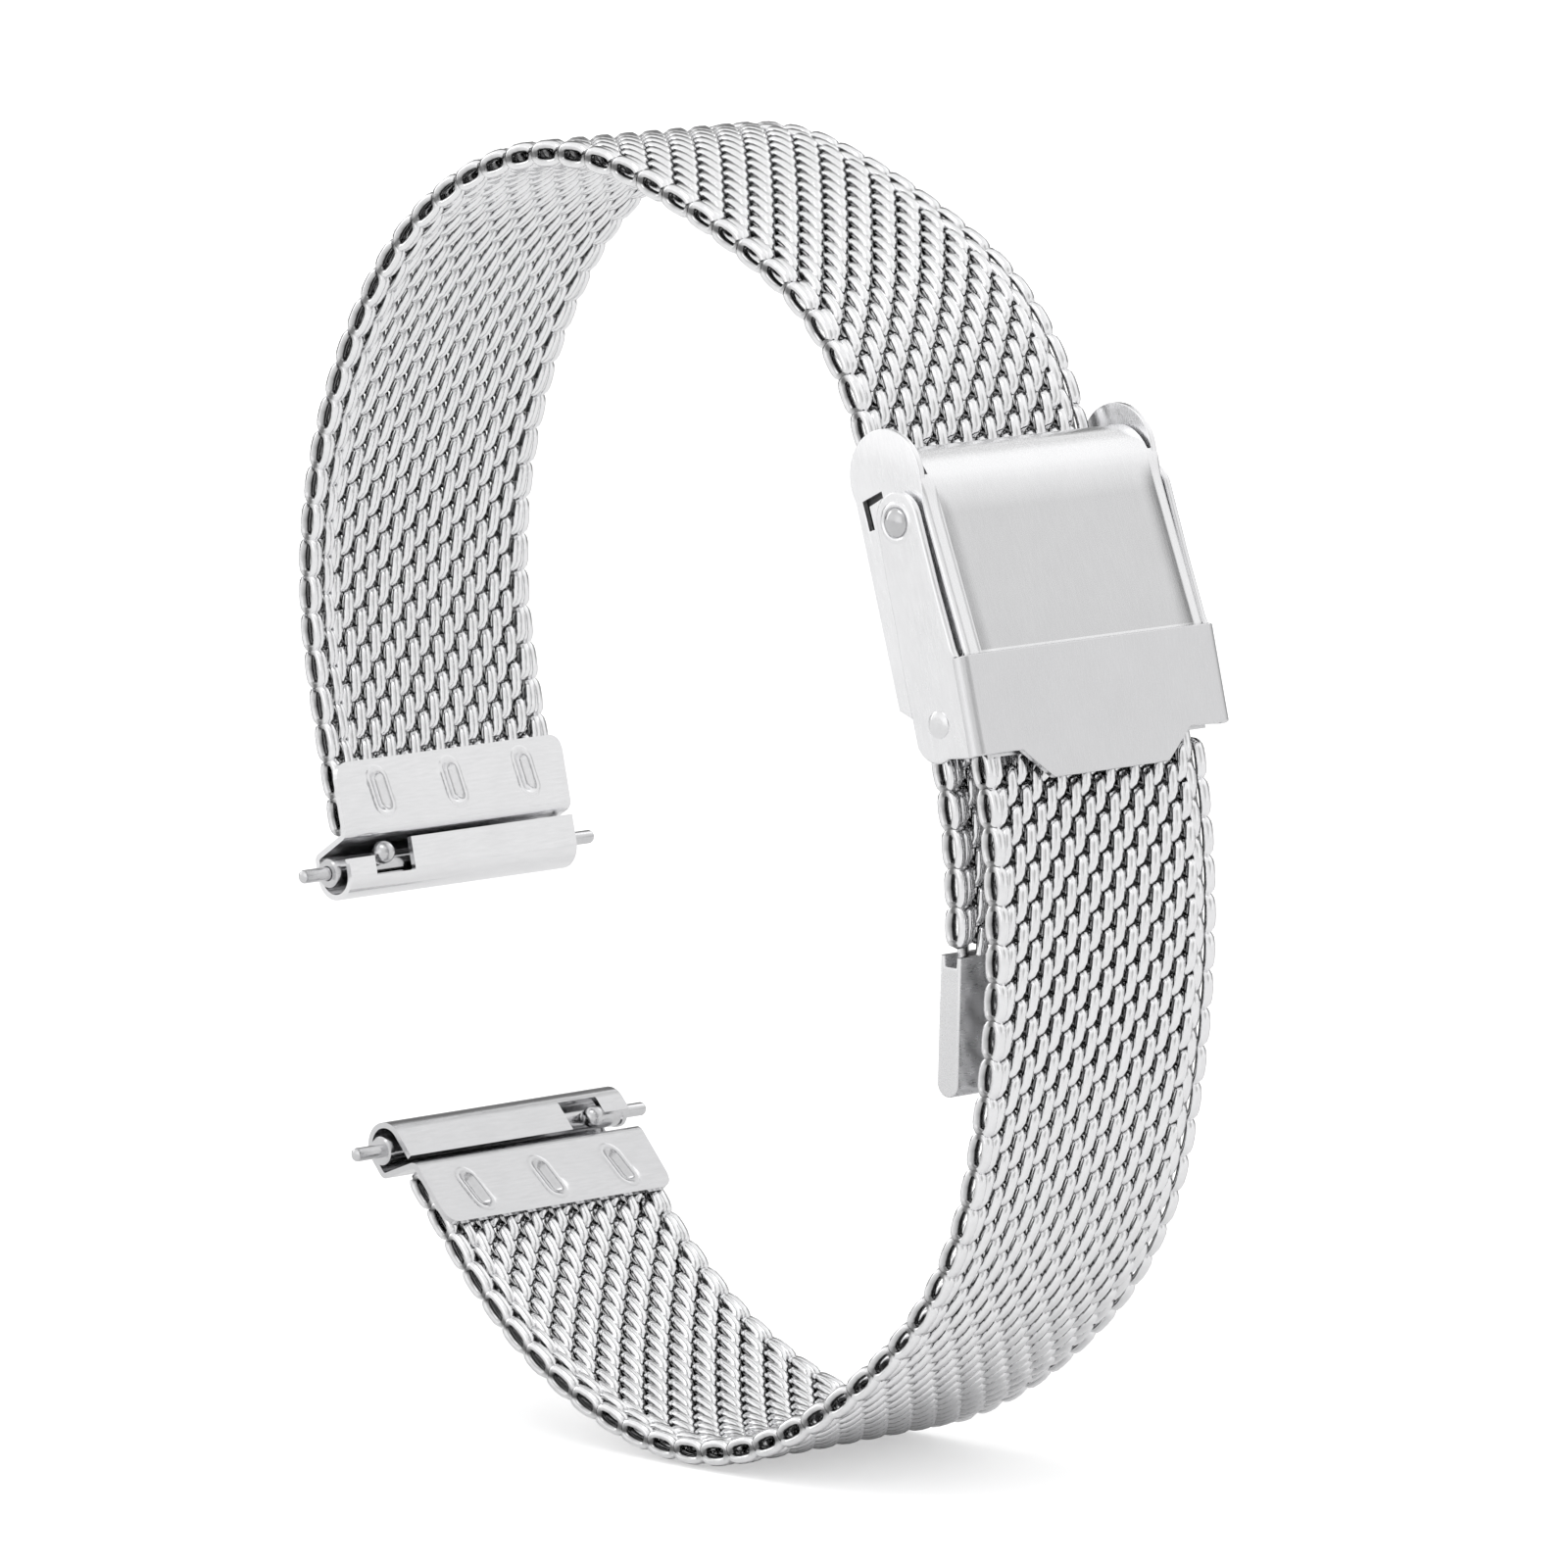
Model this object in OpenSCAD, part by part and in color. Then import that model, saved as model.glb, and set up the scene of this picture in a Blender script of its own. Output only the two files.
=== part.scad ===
/* [Mesh] */
// width of the woven mesh with its edge coils
mesh_width = 17; // [16:0.5:18]
// thickness of the mesh over its coils
mesh_thick = 1.56; // [1.4:0.02:1.7]
// distance from one row of coils to the next
row_pitch = 1.06; // [1:0.01:1.1]
// rows in one flexing length of mesh
rows_per_length = 11; // [10:1:12]
// wire that the mesh is woven from
wire_d = 0.48; // [0.4:0.02:0.54]
// turns of each coil across the mesh
coil_turns = 8; // [6:1:9]
// length of the eyes between the coils
eye_len = 1.7; // [1.2:0.05:2]
// width of the eyes between the coils
eye_width = 1; // [0.6:0.05:1.2]
// radius of the hooked row line that two lengths turn on
knuckle_r = 0.42; // [0.36:0.02:0.46]
// free space between the knuckle and its groove
knuckle_gap = 0.05; // [0.04:0.01:0.08]

/* [Long strap] */
// direction of the long strap where it leaves the upper bar
long_heading = 103; // [100:1:106]
// distance from the bar axis to the first row of mesh
mesh_offset = 2.62; // [2.5:0.02:2.8]
// sideways step from the bar axis to the middle of the mesh
mesh_step = 0.33; // [0.25:0.01:0.4]
// rows in the length of mesh beside each end link
link_rows = 9; // [8:1:10]
// bend of length 1 at rest
long_turn_1 = -3; // [-6:1:0]
// bend of length 2 at rest
long_turn_2 = -25; // [-28:1:-22]
// bend of length 3 at rest
long_turn_3 = -20; // [-23:1:-17]
// bend of length 4 at rest
long_turn_4 = -35; // [-38:1:-32]
// bend of length 5 at rest
long_turn_5 = -37; // [-40:1:-34]
// bend of length 6 at rest
long_turn_6 = -12; // [-15:1:-9]
// bend of length 7 at rest
long_turn_7 = -42; // [-45:1:-39]
// straight rows that the clasp box can stand on
clasp_rows = 16; // [16:1:18]
// rows of the loose tail above its cap
tail_rows = 9; // [8:1:11]
// bend of the tail at rest
tail_turn = -14; // [-16:1:-10]
// length of the folded cap on the tail
cap_len = 7.8; // [7:0.1:9]
// sheet of the tail cap
cap_sheet = 0.3; // [0.25:0.01:0.34]

/* [Short strap] */
// direction of the short strap where it leaves the clasp
short_heading = -77; // [-79:1:-76]
// bend of length 1 at rest
short_turn_1 = -15; // [-18:1:-12]
// bend of length 2 at rest
short_turn_2 = -12; // [-15:1:-9]
// bend of length 3 at rest
short_turn_3 = -32; // [-35:1:-29]
// bend of length 4 at rest
short_turn_4 = -20; // [-23:1:-17]
// bend of length 5 at rest
short_turn_5 = -38; // [-41:1:-35]
// bend of length 6 at rest
short_turn_6 = -25; // [-28:1:-22]
// bend of length 7 at rest
short_turn_7 = -9; // [-12:1:-6]

/* [End links and spring bars] */
// distance between the lugs of the watch
lug_width = 20; // [20:0.1:20.4]
// how far each bar tip reaches into its lug
tip_reach = 1.4; // [1.2:0.1:1.6]
// diameter of the bar barrel
barrel_d = 1.5; // [1.4:0.02:1.6]
// wall of the barrel tube
barrel_wall = 0.145; // [0.145:0.005:0.155]
// diameter of the bar tips
tip_d = 0.78; // [0.7:0.02:0.8]
// free space between lug and barrel, each side
lug_gap = 0.55; // [0.5:0.05:0.7]
// travel of the release knob
knob_travel = 1.3; // [1.1:0.1:1.4]
// radius of the knob ball
knob_r = 0.65; // [0.55:0.01:0.68]
// width of the end link
link_width = 17.8; // [17.6:0.1:18]
// sheet of the end link
link_sheet = 0.35; // [0.3:0.01:0.38]
// outer radius of the curl round the bar
curl_r = 1.42; // [1.38:0.01:1.46]
// height of the plate on the mesh
plate_len = 4.3; // [3.8:0.1:5]

/* [Clasp] */
// room between the mesh's edge and the box wall
box_room = 0.4; // [0.35:0.01:0.45]
// length of the box walls
box_length = 15.4; // [15.2:0.05:15.5]
// sheet of the box
box_sheet = 0.4; // [0.36:0.01:0.42]
// radius of the rounded crest of the box
crest_r = 2.2; // [2:0.05:2.3]
// depth of the crest below the box top
crest_drop = 1.1; // [0.9:0.05:1.2]
// radius of the ears beside the crest
ear_r = 2.7; // [2.6:0.05:2.75]
// pivot of the flap, down from the box top
pivot_down = 5.1; // [4.9:0.1:5.3]
// pivot of the flap, out from the middle of the mesh
pivot_out = 2.6; // [2.5:0.05:2.7]
// pivot pin shank
pivot_d = 1; // [0.8:0.05:1.1]
// pivot pin head
pivot_head_d = 1.7; // [1.5:0.05:1.9]
// cross bar, down from the end of the box walls
bar_below = 0.9; // [0.85:0.01:1]
// cross bar, out from the middle of the mesh
bar_out = 2.2; // [2.15:0.05:2.25]
// diameter of the cross bar
bar_d = 1.2; // [1.1:0.05:1.3]
// room between the box wall and the flap cheek
flap_room = 0.3; // [0.26:0.01:0.34]
// sheet of the flap
flap_sheet = 0.45; // [0.4:0.01:0.46]
// width of the finger tab at its root
tab_root = 13.2; // [11:0.1:14]
// width of the finger tab at its end
tab_end = 9; // [7:0.1:10]
// height of the finger tab
tab_height = 1.7; // [1.4:0.1:2]
// radius of the turning ends of the lock plate
trunnion_r = 0.35; // [0.3:0.01:0.36]
// running clearance of pins in their holes
pin_gap = 0.05; // [0.04:0.01:0.07]

/* [Hidden] */
$fn = 48;

half_t = mesh_thick / 2;
box_width = mesh_width + 2 * (box_room + box_sheet);
flap_width = box_width + 2 * (flap_room + flap_sheet);
bar_down = box_length + bar_below;
length_l = rows_per_length * row_pitch;
core_w = mesh_width - 2 * wire_d;
groove_r = knuckle_r + knuckle_gap;
seam = 0.04;
plate_rows = 4;
coil_edge = mesh_width / 2 - wire_d / 2;
coil_pitch = 2 * coil_edge / (coil_turns + 0.5);
bevel_out = tan(7.8);
bevel_in = tan(1.6);
valley_t = half_t - 0.17;
grip_t = half_t - 0.1;
jaw_sheet = 0.25;
jaw_grip = 0.85;
rise = 0.22;
rings_per_row = 0.55;
ring_band = 0.42;
eye_rows = 3;
tongue_len = cap_len - 1.2;
tongue_root = 0.3;
grip_root = 0.4;

function step(f, l, a) = abs(a) < 0.001
  ? [f[0] + l * cos(f[2]), f[1] + l * sin(f[2]), f[2]]
  : let (d = l * sin(a / 2) / (a / 2 * PI / 180))
    [f[0] + d * cos(f[2] + a / 2), f[1] + d * sin(f[2] + a / 2), f[2] + a];
function rowlines(f, n, a) = [for (i = [0 : n]) step(f, i * row_pitch, a * i / n)];
function bend_after(f, flat, n, a) = concat(rowlines(f, flat, 0),
  [for (i = [1 : n - flat]) rowlines(step(f, flat * row_pitch, 0), n - flat, a)[i]]);
function bend_before(f, flat, n, a) = concat(rowlines(f, n - flat, a),
  [for (i = [1 : flat]) rowlines(step(f, (n - flat) * row_pitch, a), flat, 0)[i]]);
function inframe(f, s, t) = [f[0] + s * cos(f[2]) - t * sin(f[2]), f[1] + s * sin(f[2]) + t * cos(f[2])];
function between(a, b, k) = [a[0] + (b[0] - a[0]) * k, a[1] + (b[1] - a[1]) * k, a[2] + (b[2] - a[2]) * k];
function arc(c, r, a0, a1, n) = [for (i = [0 : n]) [c[0] + r * cos(a0 + (a1 - a0) * i / n),
  c[1] + r * sin(a0 + (a1 - a0) * i / n)]];

bar_a = [0, 0];
long_0 = let (f = [0, 0, long_heading])
  concat(inframe(f, mesh_offset, -mesh_step), [long_heading]);
rows_l1 = bend_after(long_0, plate_rows, link_rows, long_turn_1);
long_1 = rows_l1[link_rows];
long_2 = step(long_1, length_l, long_turn_2);
long_3 = step(long_2, length_l, long_turn_3);
long_4 = step(long_3, length_l, long_turn_4);
long_5 = step(long_4, length_l, long_turn_5);
long_6 = step(long_5, length_l, long_turn_6);
long_7 = step(long_6, length_l, long_turn_7);
run_out = 2;
run_turn = -7;
clasp_mid = step(long_7, clasp_rows * row_pitch, 0);
clasp_end = step(clasp_mid, run_out * row_pitch, run_turn);
tail_end = step(clasp_end, tail_rows * row_pitch, tail_turn);

function clasp_xz(w, u) = inframe(long_7, u, w);
flap_end = bar_down + 2.3;
short_0 = concat(clasp_xz(bar_out + 0.75, flap_end), [short_heading]);
short_1 = step(short_0, length_l, short_turn_1);
short_2 = step(short_1, length_l, short_turn_2);
short_3 = step(short_2, length_l, short_turn_3);
short_4 = step(short_3, length_l, short_turn_4);
short_5 = step(short_4, length_l, short_turn_5);
short_6 = step(short_5, length_l, short_turn_6);
rows_s7 = bend_before(short_6, plate_rows, link_rows, short_turn_7);
short_7 = rows_s7[link_rows];
bar_b = inframe(short_7, mesh_offset, mesh_step);

module profile(w, points) {
  rotate([90, 0, 0]) linear_extrude(height = w, center = true) polygon(points);
}
module rod(r, l) {
  rotate([90, 0, 0]) cylinder(r = r, h = l, center = true);
}
module at_frame(f) {
  translate([f[0], 0, f[1]]) rotate([0, -f[2], 0]) children();
}
module at_clasp() {
  translate([long_7[0], 0, long_7[1]]) rotate([0, -90 - long_7[2], 0]) children();
}
module both_sides() {
  children();
  mirror([0, 1, 0]) children();
}

// woven mesh
function mesh_side(fr, t) = let (n = len(fr) - 1) [for (i = [0 : n]) for (k = [0 : 2])
  if (i < n || k == 0) let (f = k == 0 ? fr[i] : between(fr[i], fr[i + 1], k == 1 ? rise : 1 - rise),
    high = k == 0 ? valley_t : half_t, bevel = t > 0 ? bevel_out : bevel_in,
    s = k != 0 ? 0 : (i == 0 ? 1 : (i == n ? -1 : 0)) * (seam / 2 + high * bevel))
  inframe(f, s, t * high)];
function reversed(v) = [for (i = [len(v) - 1 : -1 : 0]) v[i]];

module mesh_eyes(fr, first) {
  n = len(fr) - 1;
  for (i = [eye_rows - 1 : eye_rows : n - 1])
    let (shift = (first + i) % 2 == 0 ? 1 : 0.5)
      at_frame(fr[i])
        for (k = [0 : coil_turns - 1])
          translate([0, -coil_edge + (k + shift) * coil_pitch, 0])
            linear_extrude(height = 2 * mesh_thick, center = true)
              polygon([[eye_len / 2, 0], [0, eye_width / 2], [-eye_len / 2, 0], [0, -eye_width / 2]]);
}
module mesh_length(fr, grooved, nosed, first = -1) {
  n = len(fr) - 1;
  rings = round(n * rings_per_row);
  difference() {
    union() {
      profile(core_w, concat([inframe(fr[0], seam / 2, 0)], mesh_side(fr, 1),
        [inframe(fr[n], -seam / 2, 0)], reversed(mesh_side(fr, -1))));
      for (i = [0 : rings - 1])
        let (k = (i + 0.5) * n / rings, j = min(floor(k), n - 1))
        both_sides()
          translate([0, mesh_width / 2 - wire_d / 2 - 0.02, 0])
            at_frame(between(fr[j], fr[j + 1], k - j))
              edge_ring();
      if (nosed)
        at_frame(fr[n]) rod(knuckle_r, core_w - 0.1);
    }
    if (grooved)
      at_frame(fr[0]) rod(groove_r, mesh_width + 1);
    if (first >= 0)
      mesh_eyes(fr, first);
  }
}
module edge_ring() {
  difference() {
    rotate([90, 0, 0]) cylinder(r = half_t, h = wire_d + 0.04, center = true, $fn = 12);
    rotate([90, 0, 0]) cylinder(r = half_t - ring_band, h = 2, center = true, $fn = 8);
  }
}

module mesh_long_1() { color("Silver") mesh_length(rows_l1, false, true, 0); }
module mesh_long_2() {
  color("Silver")
    mesh_length(rowlines(long_1, rows_per_length, long_turn_2), true, true, link_rows);
}
module mesh_long_3() {
  color("Silver")
    mesh_length(rowlines(long_2, rows_per_length, long_turn_3), true, true, link_rows + rows_per_length);
}
module mesh_long_4() {
  color("Silver")
    mesh_length(rowlines(long_3, rows_per_length, long_turn_4), true, true,
      link_rows + 2 * rows_per_length);
}
module mesh_long_5() {
  color("Silver")
    mesh_length(rowlines(long_4, rows_per_length, long_turn_5), true, true,
      link_rows + 3 * rows_per_length);
}
module mesh_long_6() {
  color("Silver")
    mesh_length(rowlines(long_5, rows_per_length, long_turn_6), true, true,
      link_rows + 4 * rows_per_length);
}
module mesh_long_7() {
  color("Silver")
    mesh_length(rowlines(long_6, rows_per_length, long_turn_7), true, true,
      link_rows + 5 * rows_per_length);
}
module mesh_clasp() {
  runout = rowlines(clasp_mid, run_out, run_turn);
  color("Silver")
    mesh_length(concat(rowlines(long_7, clasp_rows, 0), [for (i = [1 : run_out]) runout[i]]), true, true);
}
module mesh_tail() {
  color("Silver") {
    mesh_length(rowlines(clasp_end, tail_rows, tail_turn), true, false);
    at_frame(tail_end)
      translate([tongue_len / 2 - tongue_root, 0, 0])
        cube([tongue_len + 2 * tongue_root, core_w - 0.6, mesh_thick - 2 * cap_sheet - 0.06], center = true);
  }
}
module mesh_short_1() {
  color("Silver") {
    mesh_length(rowlines(short_0, rows_per_length, short_turn_1), false, true, 0);
    at_frame(short_0)
      translate([(grip_root - jaw_grip) / 2, 0, 0])
        cube([jaw_grip + grip_root, core_w, 2 * grip_t], center = true);
  }
}
module mesh_short_2() {
  color("Silver")
    mesh_length(rowlines(short_1, rows_per_length, short_turn_2), true, true, rows_per_length);
}
module mesh_short_3() {
  color("Silver")
    mesh_length(rowlines(short_2, rows_per_length, short_turn_3), true, true, 2 * rows_per_length);
}
module mesh_short_4() {
  color("Silver")
    mesh_length(rowlines(short_3, rows_per_length, short_turn_4), true, true, 3 * rows_per_length);
}
module mesh_short_5() {
  color("Silver")
    mesh_length(rowlines(short_4, rows_per_length, short_turn_5), true, true, 4 * rows_per_length);
}
module mesh_short_6() {
  color("Silver")
    mesh_length(rowlines(short_5, rows_per_length, short_turn_6), true, true, 5 * rows_per_length);
}
module mesh_short_7() { color("Silver") mesh_length(rows_s7, true, false, 6 * rows_per_length); }

// folded cap on the tail
cap_width = mesh_width + 0.3;
dimple_y = 6;
dimple_r = 0.55;
dimple_cut = 0.16;
module tail_cap() {
  inner = half_t - cap_sheet;
  color("Gainsboro")
    at_frame(tail_end)
      difference() {
        union() {
          translate([cap_len / 2 - half_t / 2, 0, 0])
            cube([cap_len - half_t, cap_width, mesh_thick], center = true);
          translate([cap_len - half_t, 0, 0]) rod(half_t, cap_width);
        }
        translate([(cap_len - half_t - cap_sheet) / 2 - 1, 0, 0])
          cube([cap_len - half_t - cap_sheet + 2, core_w - 0.5, 2 * inner], center = true);
        for (s = [-1, 1])
          translate([cap_len * 0.45, s * dimple_y, half_t])
            cylinder(r = dimple_r, h = dimple_cut, center = true);
      }
}

// end links and quick release bars, drawn round the bar axis
curl_in = curl_r - link_sheet;
curl_drop = 0.2;
curl_end = 1.4;
tab_top = 0.62;
window_low = 0.45;
plate_x = mesh_step + half_t + 0.02;
plate_low = 1.8;
plate_top = plate_low + plate_len;
window_y = -link_width / 2 + 2;
window_w = 2 * knob_r + knob_travel + 0.4;
knob_y = window_y + knob_r + 0.2;
barrel_len = lug_width - 2 * lug_gap;
tip_y = lug_width / 2 + tip_reach;
knob_lean = 30;
bore_r = barrel_d / 2 - barrel_wall;
piston_r = bore_r - pin_gap;
plug_r = bore_r;
end_wall = 0.5;
stem_r = 0.28;
neck_r = 0.23;
tip_chamfer = 0.12;
collar_w = barrel_len / 2 - link_width / 2 - 0.05;
collar_step = 0.08;
tip_lead = 0.15;
plug_len = 1.5;
piston_past = 0.6;
piston_gap = 0.02;
neck_root = 1;
neck_lap = 0.15;
neck_end = 1.3;
foot_gap = 0.06;
foot_r = 0.46;
foot_h = 0.14;
plate_corner = 0.9;
mark_pitch = 5.7;
mark_at = 0.56;
mark_lean = 12;
mark_r = 0.5;
mark_half = 0.55;
mark_cut = 0.28;

module at_upper() {
  translate([bar_a[0], 0, bar_a[1]]) rotate([0, 90 - long_heading, 0]) children();
}
module at_lower() {
  translate([bar_b[0], 0, bar_b[1]]) rotate([0, -90 - short_7[2], 0]) rotate([0, 0, 180]) children();
}
module link_part() {
  difference() {
    union() {
      translate([0, 0, -curl_drop])
        difference() {
          union() {
            rod(curl_r, link_width);
            translate([-curl_r, -link_width / 2, 0]) cube([2 * curl_r, link_width, curl_end + curl_drop]);
          }
          rod(curl_in, link_width + 1);
          translate([-curl_in, -link_width / 2 - 1, 0]) cube([2 * curl_in, link_width + 2, 4]);
        }
      profile(link_width, [[-curl_r, 0.6], [-curl_r, 1.15], [-curl_r + 0.15, 1.36], [plate_x - 0.16, 2.12],
        [plate_x, 2.35], [plate_x, 2.6], [plate_x + link_sheet, 2.6],
        [plate_x + link_sheet, plate_low + 0.22], [plate_x + link_sheet - 0.07, plate_low + 0.06],
        [plate_x + link_sheet - 0.22, plate_low],
        [-curl_in + 0.12, 1.02], [-curl_in, 0.88], [-curl_in, 0.6]]);
      translate([plate_x, 0, 0]) rotate([90, 0, 90])
        linear_extrude(height = link_sheet)
          polygon(concat([[-link_width / 2, 2.4], [link_width / 2, 2.4]],
            arc([link_width / 2 - plate_corner, plate_top - plate_corner], plate_corner, 0, 90, 6),
            arc([-link_width / 2 + plate_corner, plate_top - plate_corner], plate_corner, 90, 180, 6)));
    }
    translate([0.4, window_y, -window_low]) cube([3, window_w, plate_low + window_low - 0.02]);
    translate([curl_in - 0.05, -link_width / 2 - 1, tab_top])
      cube([2, window_y + link_width / 2 + 1.01, plate_low - tab_top - 0.02]);
    for (k = [-1, 0, 1])
      translate([plate_x + link_sheet, k * mark_pitch, plate_low + plate_len * mark_at])
        rotate([mark_lean, 0, 0]) weld_mark();
  }
}
module weld_mark() {
  for (s = [-1, 1])
    translate([0, 0, s * mark_half]) rotate([0, 90, 0]) cylinder(r = mark_r, h = mark_cut, center = true);
  cube([mark_cut, 2 * mark_r, 2 * mark_half], center = true);
}
module bar_tube() {
  difference() {
    union() {
      rod(barrel_d / 2, barrel_len);
      both_sides()
        translate([0, barrel_len / 2 - collar_w / 2, 0]) rod(barrel_d / 2 + collar_step, collar_w);
    }
    translate([0, -barrel_len / 2 + end_wall + 6, 0]) rod(bore_r, 12);
    translate([0, -barrel_len / 2, 0]) rod(tip_d / 2 + pin_gap, 2);
    translate([0, barrel_len / 2, 0]) rod(plug_r, 3);
    rotate([0, -knob_lean, 0])
      for (k = [0, 1])
        translate([0.2, knob_y + k * knob_travel, 0]) rotate([0, 90, 0])
          cylinder(r = stem_r + pin_gap, h = 1);
    rotate([0, -knob_lean, 0])
      translate([0.2, knob_y, -stem_r - pin_gap]) cube([1, knob_travel, 2 * (stem_r + pin_gap)]);
  }
}
module bar_tip() {
  bare = tip_y - barrel_len / 2;
  translate([0, tip_y, 0])
    rotate([90, 0, 0]) {
      translate([0, 0, tip_lead]) cylinder(r = tip_d / 2, h = bare - tip_lead);
      cylinder(r1 = tip_d / 2 - tip_chamfer, r2 = tip_d / 2, h = tip_lead);
      translate([0, 0, bare]) cylinder(r = plug_r, h = plug_len);
    }
}
module bar_plunger() {
  stop_y = -barrel_len / 2 + end_wall;
  translate([0, -tip_y, 0])
    rotate([-90, 0, 0]) {
      cylinder(r1 = tip_d / 2 - tip_chamfer, r2 = tip_d / 2, h = tip_lead);
      translate([0, 0, tip_lead]) cylinder(r = tip_d / 2, h = tip_y - barrel_len / 2 - tip_lead);
      translate([0, 0, neck_root]) cylinder(r = neck_r, h = stop_y + tip_y + neck_lap - neck_root);
    }
  translate([0, (stop_y + knob_y + piston_past) / 2 + piston_gap, 0])
    rod(piston_r, knob_y + piston_past - stop_y);
  rotate([0, -knob_lean, 0])
    translate([0, knob_y, 0]) {
      rotate([0, 90, 0]) cylinder(r = stem_r, h = neck_end);
      translate([barrel_d / 2 + foot_gap, 0, 0]) rotate([0, 90, 0]) cylinder(r = foot_r, h = foot_h);
      translate([barrel_d / 2 + knob_r + foot_gap, 0, 0]) sphere(r = knob_r);
    }
}
module end_link_long() { color("LightGray") at_upper() link_part(); }
module bar_tube_long() { color("DarkGray") at_upper() bar_tube(); }
module bar_tip_long() { color("Gray") at_upper() bar_tip(); }
module bar_plunger_long() { color("Gray") at_upper() bar_plunger(); }
module end_link_short() { color("LightGray") at_lower() link_part(); }
module bar_tube_short() { color("DarkGray") at_lower() bar_tube(); }
module bar_tip_short() { color("Gray") at_lower() bar_tip(); }
module bar_plunger_short() { color("Gray") at_lower() bar_plunger(); }

// clasp, drawn with x outward and z up the strap
plate_out = 4.5;
plate_low_out = 4.98;
plate_end = box_length - 2.5;
lip_out = 4.35;
lip_end = box_length - 0.4;
guide_end = box_length - 3.4;
lock_end = box_length - 2.9;
crest_base = crest_drop + crest_r;
ear_out = plate_out - ear_r;
ear_rise = 0.2;
ear_down = ear_r - ear_rise;
wall_in = -1.25;
lock_u = 3.6;
lock_w = -0.2;
flap_start = plate_end + 0.25;
flap_out = 5.1;
flap_end_out = 4.62;
crest_lip = 0.7;
edge_in = 0.13;
guide_gap = 0.08;
guide_sheet = 0.35;
guide_start = 1.5;
lock_gap = 0.07;
lock_sheet = 0.4;
lug_r = 0.62;
lug_sheet = 0.22;
lug_play = 0.05;
trunnion_past = 0.24;
head_gap = 0.03;
head_h = 0.22;
dome_h = 0.12;
dome_step = 0.2;
rivet_h = 0.2;
rivet_past = 0.15;
shoulder = 0.05;
cheek_r = 1.8;
cheek_low_r = 1.55;
button_past = 0.17;
button_h = 0.14;
eye_sheet = 0.38;

module clasp_box() {
  t = box_sheet;
  color("Silver")
    at_clasp()
      difference() {
        union() {
          profile(box_width, [[plate_out, -crest_base], [plate_low_out, -plate_end],
            [lip_out, -plate_end - 0.4], [lip_out, -lip_end], [lip_out - t, -lip_end],
            [lip_out - t, -plate_end - 0.2],
            [plate_low_out - t, -plate_end + 0.25], [plate_out - t, -crest_base]]);
          translate([plate_out - crest_r, 0, -crest_base])
            intersection() {
              difference() {
                rod(crest_r, box_width);
                rod(crest_r - t, box_width + 1);
              }
              translate([0, -15, 0]) cube([5, 30, 5]);
            }
          translate([plate_out - crest_r - crest_lip, -box_width / 2, -crest_drop - t])
            cube([crest_lip, box_width, t]);
          both_sides()
            translate([0, box_width / 2 - t / 2, 0]) box_wall(t);
          translate([half_t + guide_gap, -box_width / 2 + t / 2, -guide_end])
            cube([guide_sheet, box_width - t, guide_end - guide_start]);
        }
        translate([pivot_out, 0, -pivot_down]) rod(pivot_d / 2, 30);
        translate([lock_w, 0, -lock_u]) rod(trunnion_r + pin_gap, 30);
      }
}
module box_wall(t) {
  profile(t, concat([[plate_out - edge_in, -crest_base - 0.3], [plate_low_out - edge_in, -plate_end + 0.1],
      [lip_out - 0.1, -plate_end - 0.35], [lip_out - 0.1, -lip_end + 0.3], [3.2, -box_length],
      [0.9, -box_length], [0.2, -box_length + 0.3], [wall_in, -box_length + 2.1]],
    arc([ear_out, -ear_down], ear_r, 215, 0, 20)));
}
module lock_plate() {
  inner = -half_t - lock_gap;
  side = box_width / 2 - box_sheet;
  color("DarkGray")
    at_clasp() {
      profile(2 * (side - lug_play), [[inner, -lock_u - 0.75], [inner, -lock_end + 0.9],
        [inner - 0.5, -lock_end], [inner - 0.85, -lock_end], [inner - lock_sheet, -lock_end + 1.1],
        [inner - lock_sheet, -lock_u - 0.75]]);
      both_sides()
        translate([0, side - lug_play - lug_sheet / 2, 0])
          profile(lug_sheet, concat([[inner - lock_sheet, -lock_u - 2.4],
              [inner - lock_sheet, -lock_u - 0.9]],
            arc([lock_w, -lock_u], lug_r, 215, 20, 8),
            [[lock_w + 0.5, -lock_u - 0.5], [inner + 0.02, -lock_u - 2.4]]));
      both_sides()
        translate([lock_w, side + (box_sheet - trunnion_past) / 2, -lock_u])
          rod(trunnion_r, box_sheet + trunnion_past);
    }
}
module pivot_pins() {
  color("Gainsboro")
    at_clasp()
      both_sides()
        translate([pivot_out, flap_width / 2, -pivot_down])
          rotate([90, 0, 0]) {
            cylinder(r = pivot_d / 2, h = flap_width / 2 - box_width / 2 + box_sheet);
            translate([0, 0, -head_gap - head_h]) cylinder(r = pivot_head_d / 2, h = head_h);
            translate([0, 0, -head_gap]) cylinder(r = pivot_d / 2, h = 0.1);
            translate([0, 0, -head_gap - head_h - dome_h])
              cylinder(r1 = pivot_head_d / 2 - dome_step, r2 = pivot_head_d / 2, h = dome_h);
            translate([0, 0, flap_width / 2 - box_width / 2 + box_sheet])
              cylinder(r = pivot_d / 2 + rivet_past, h = rivet_h);
          }
}
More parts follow.
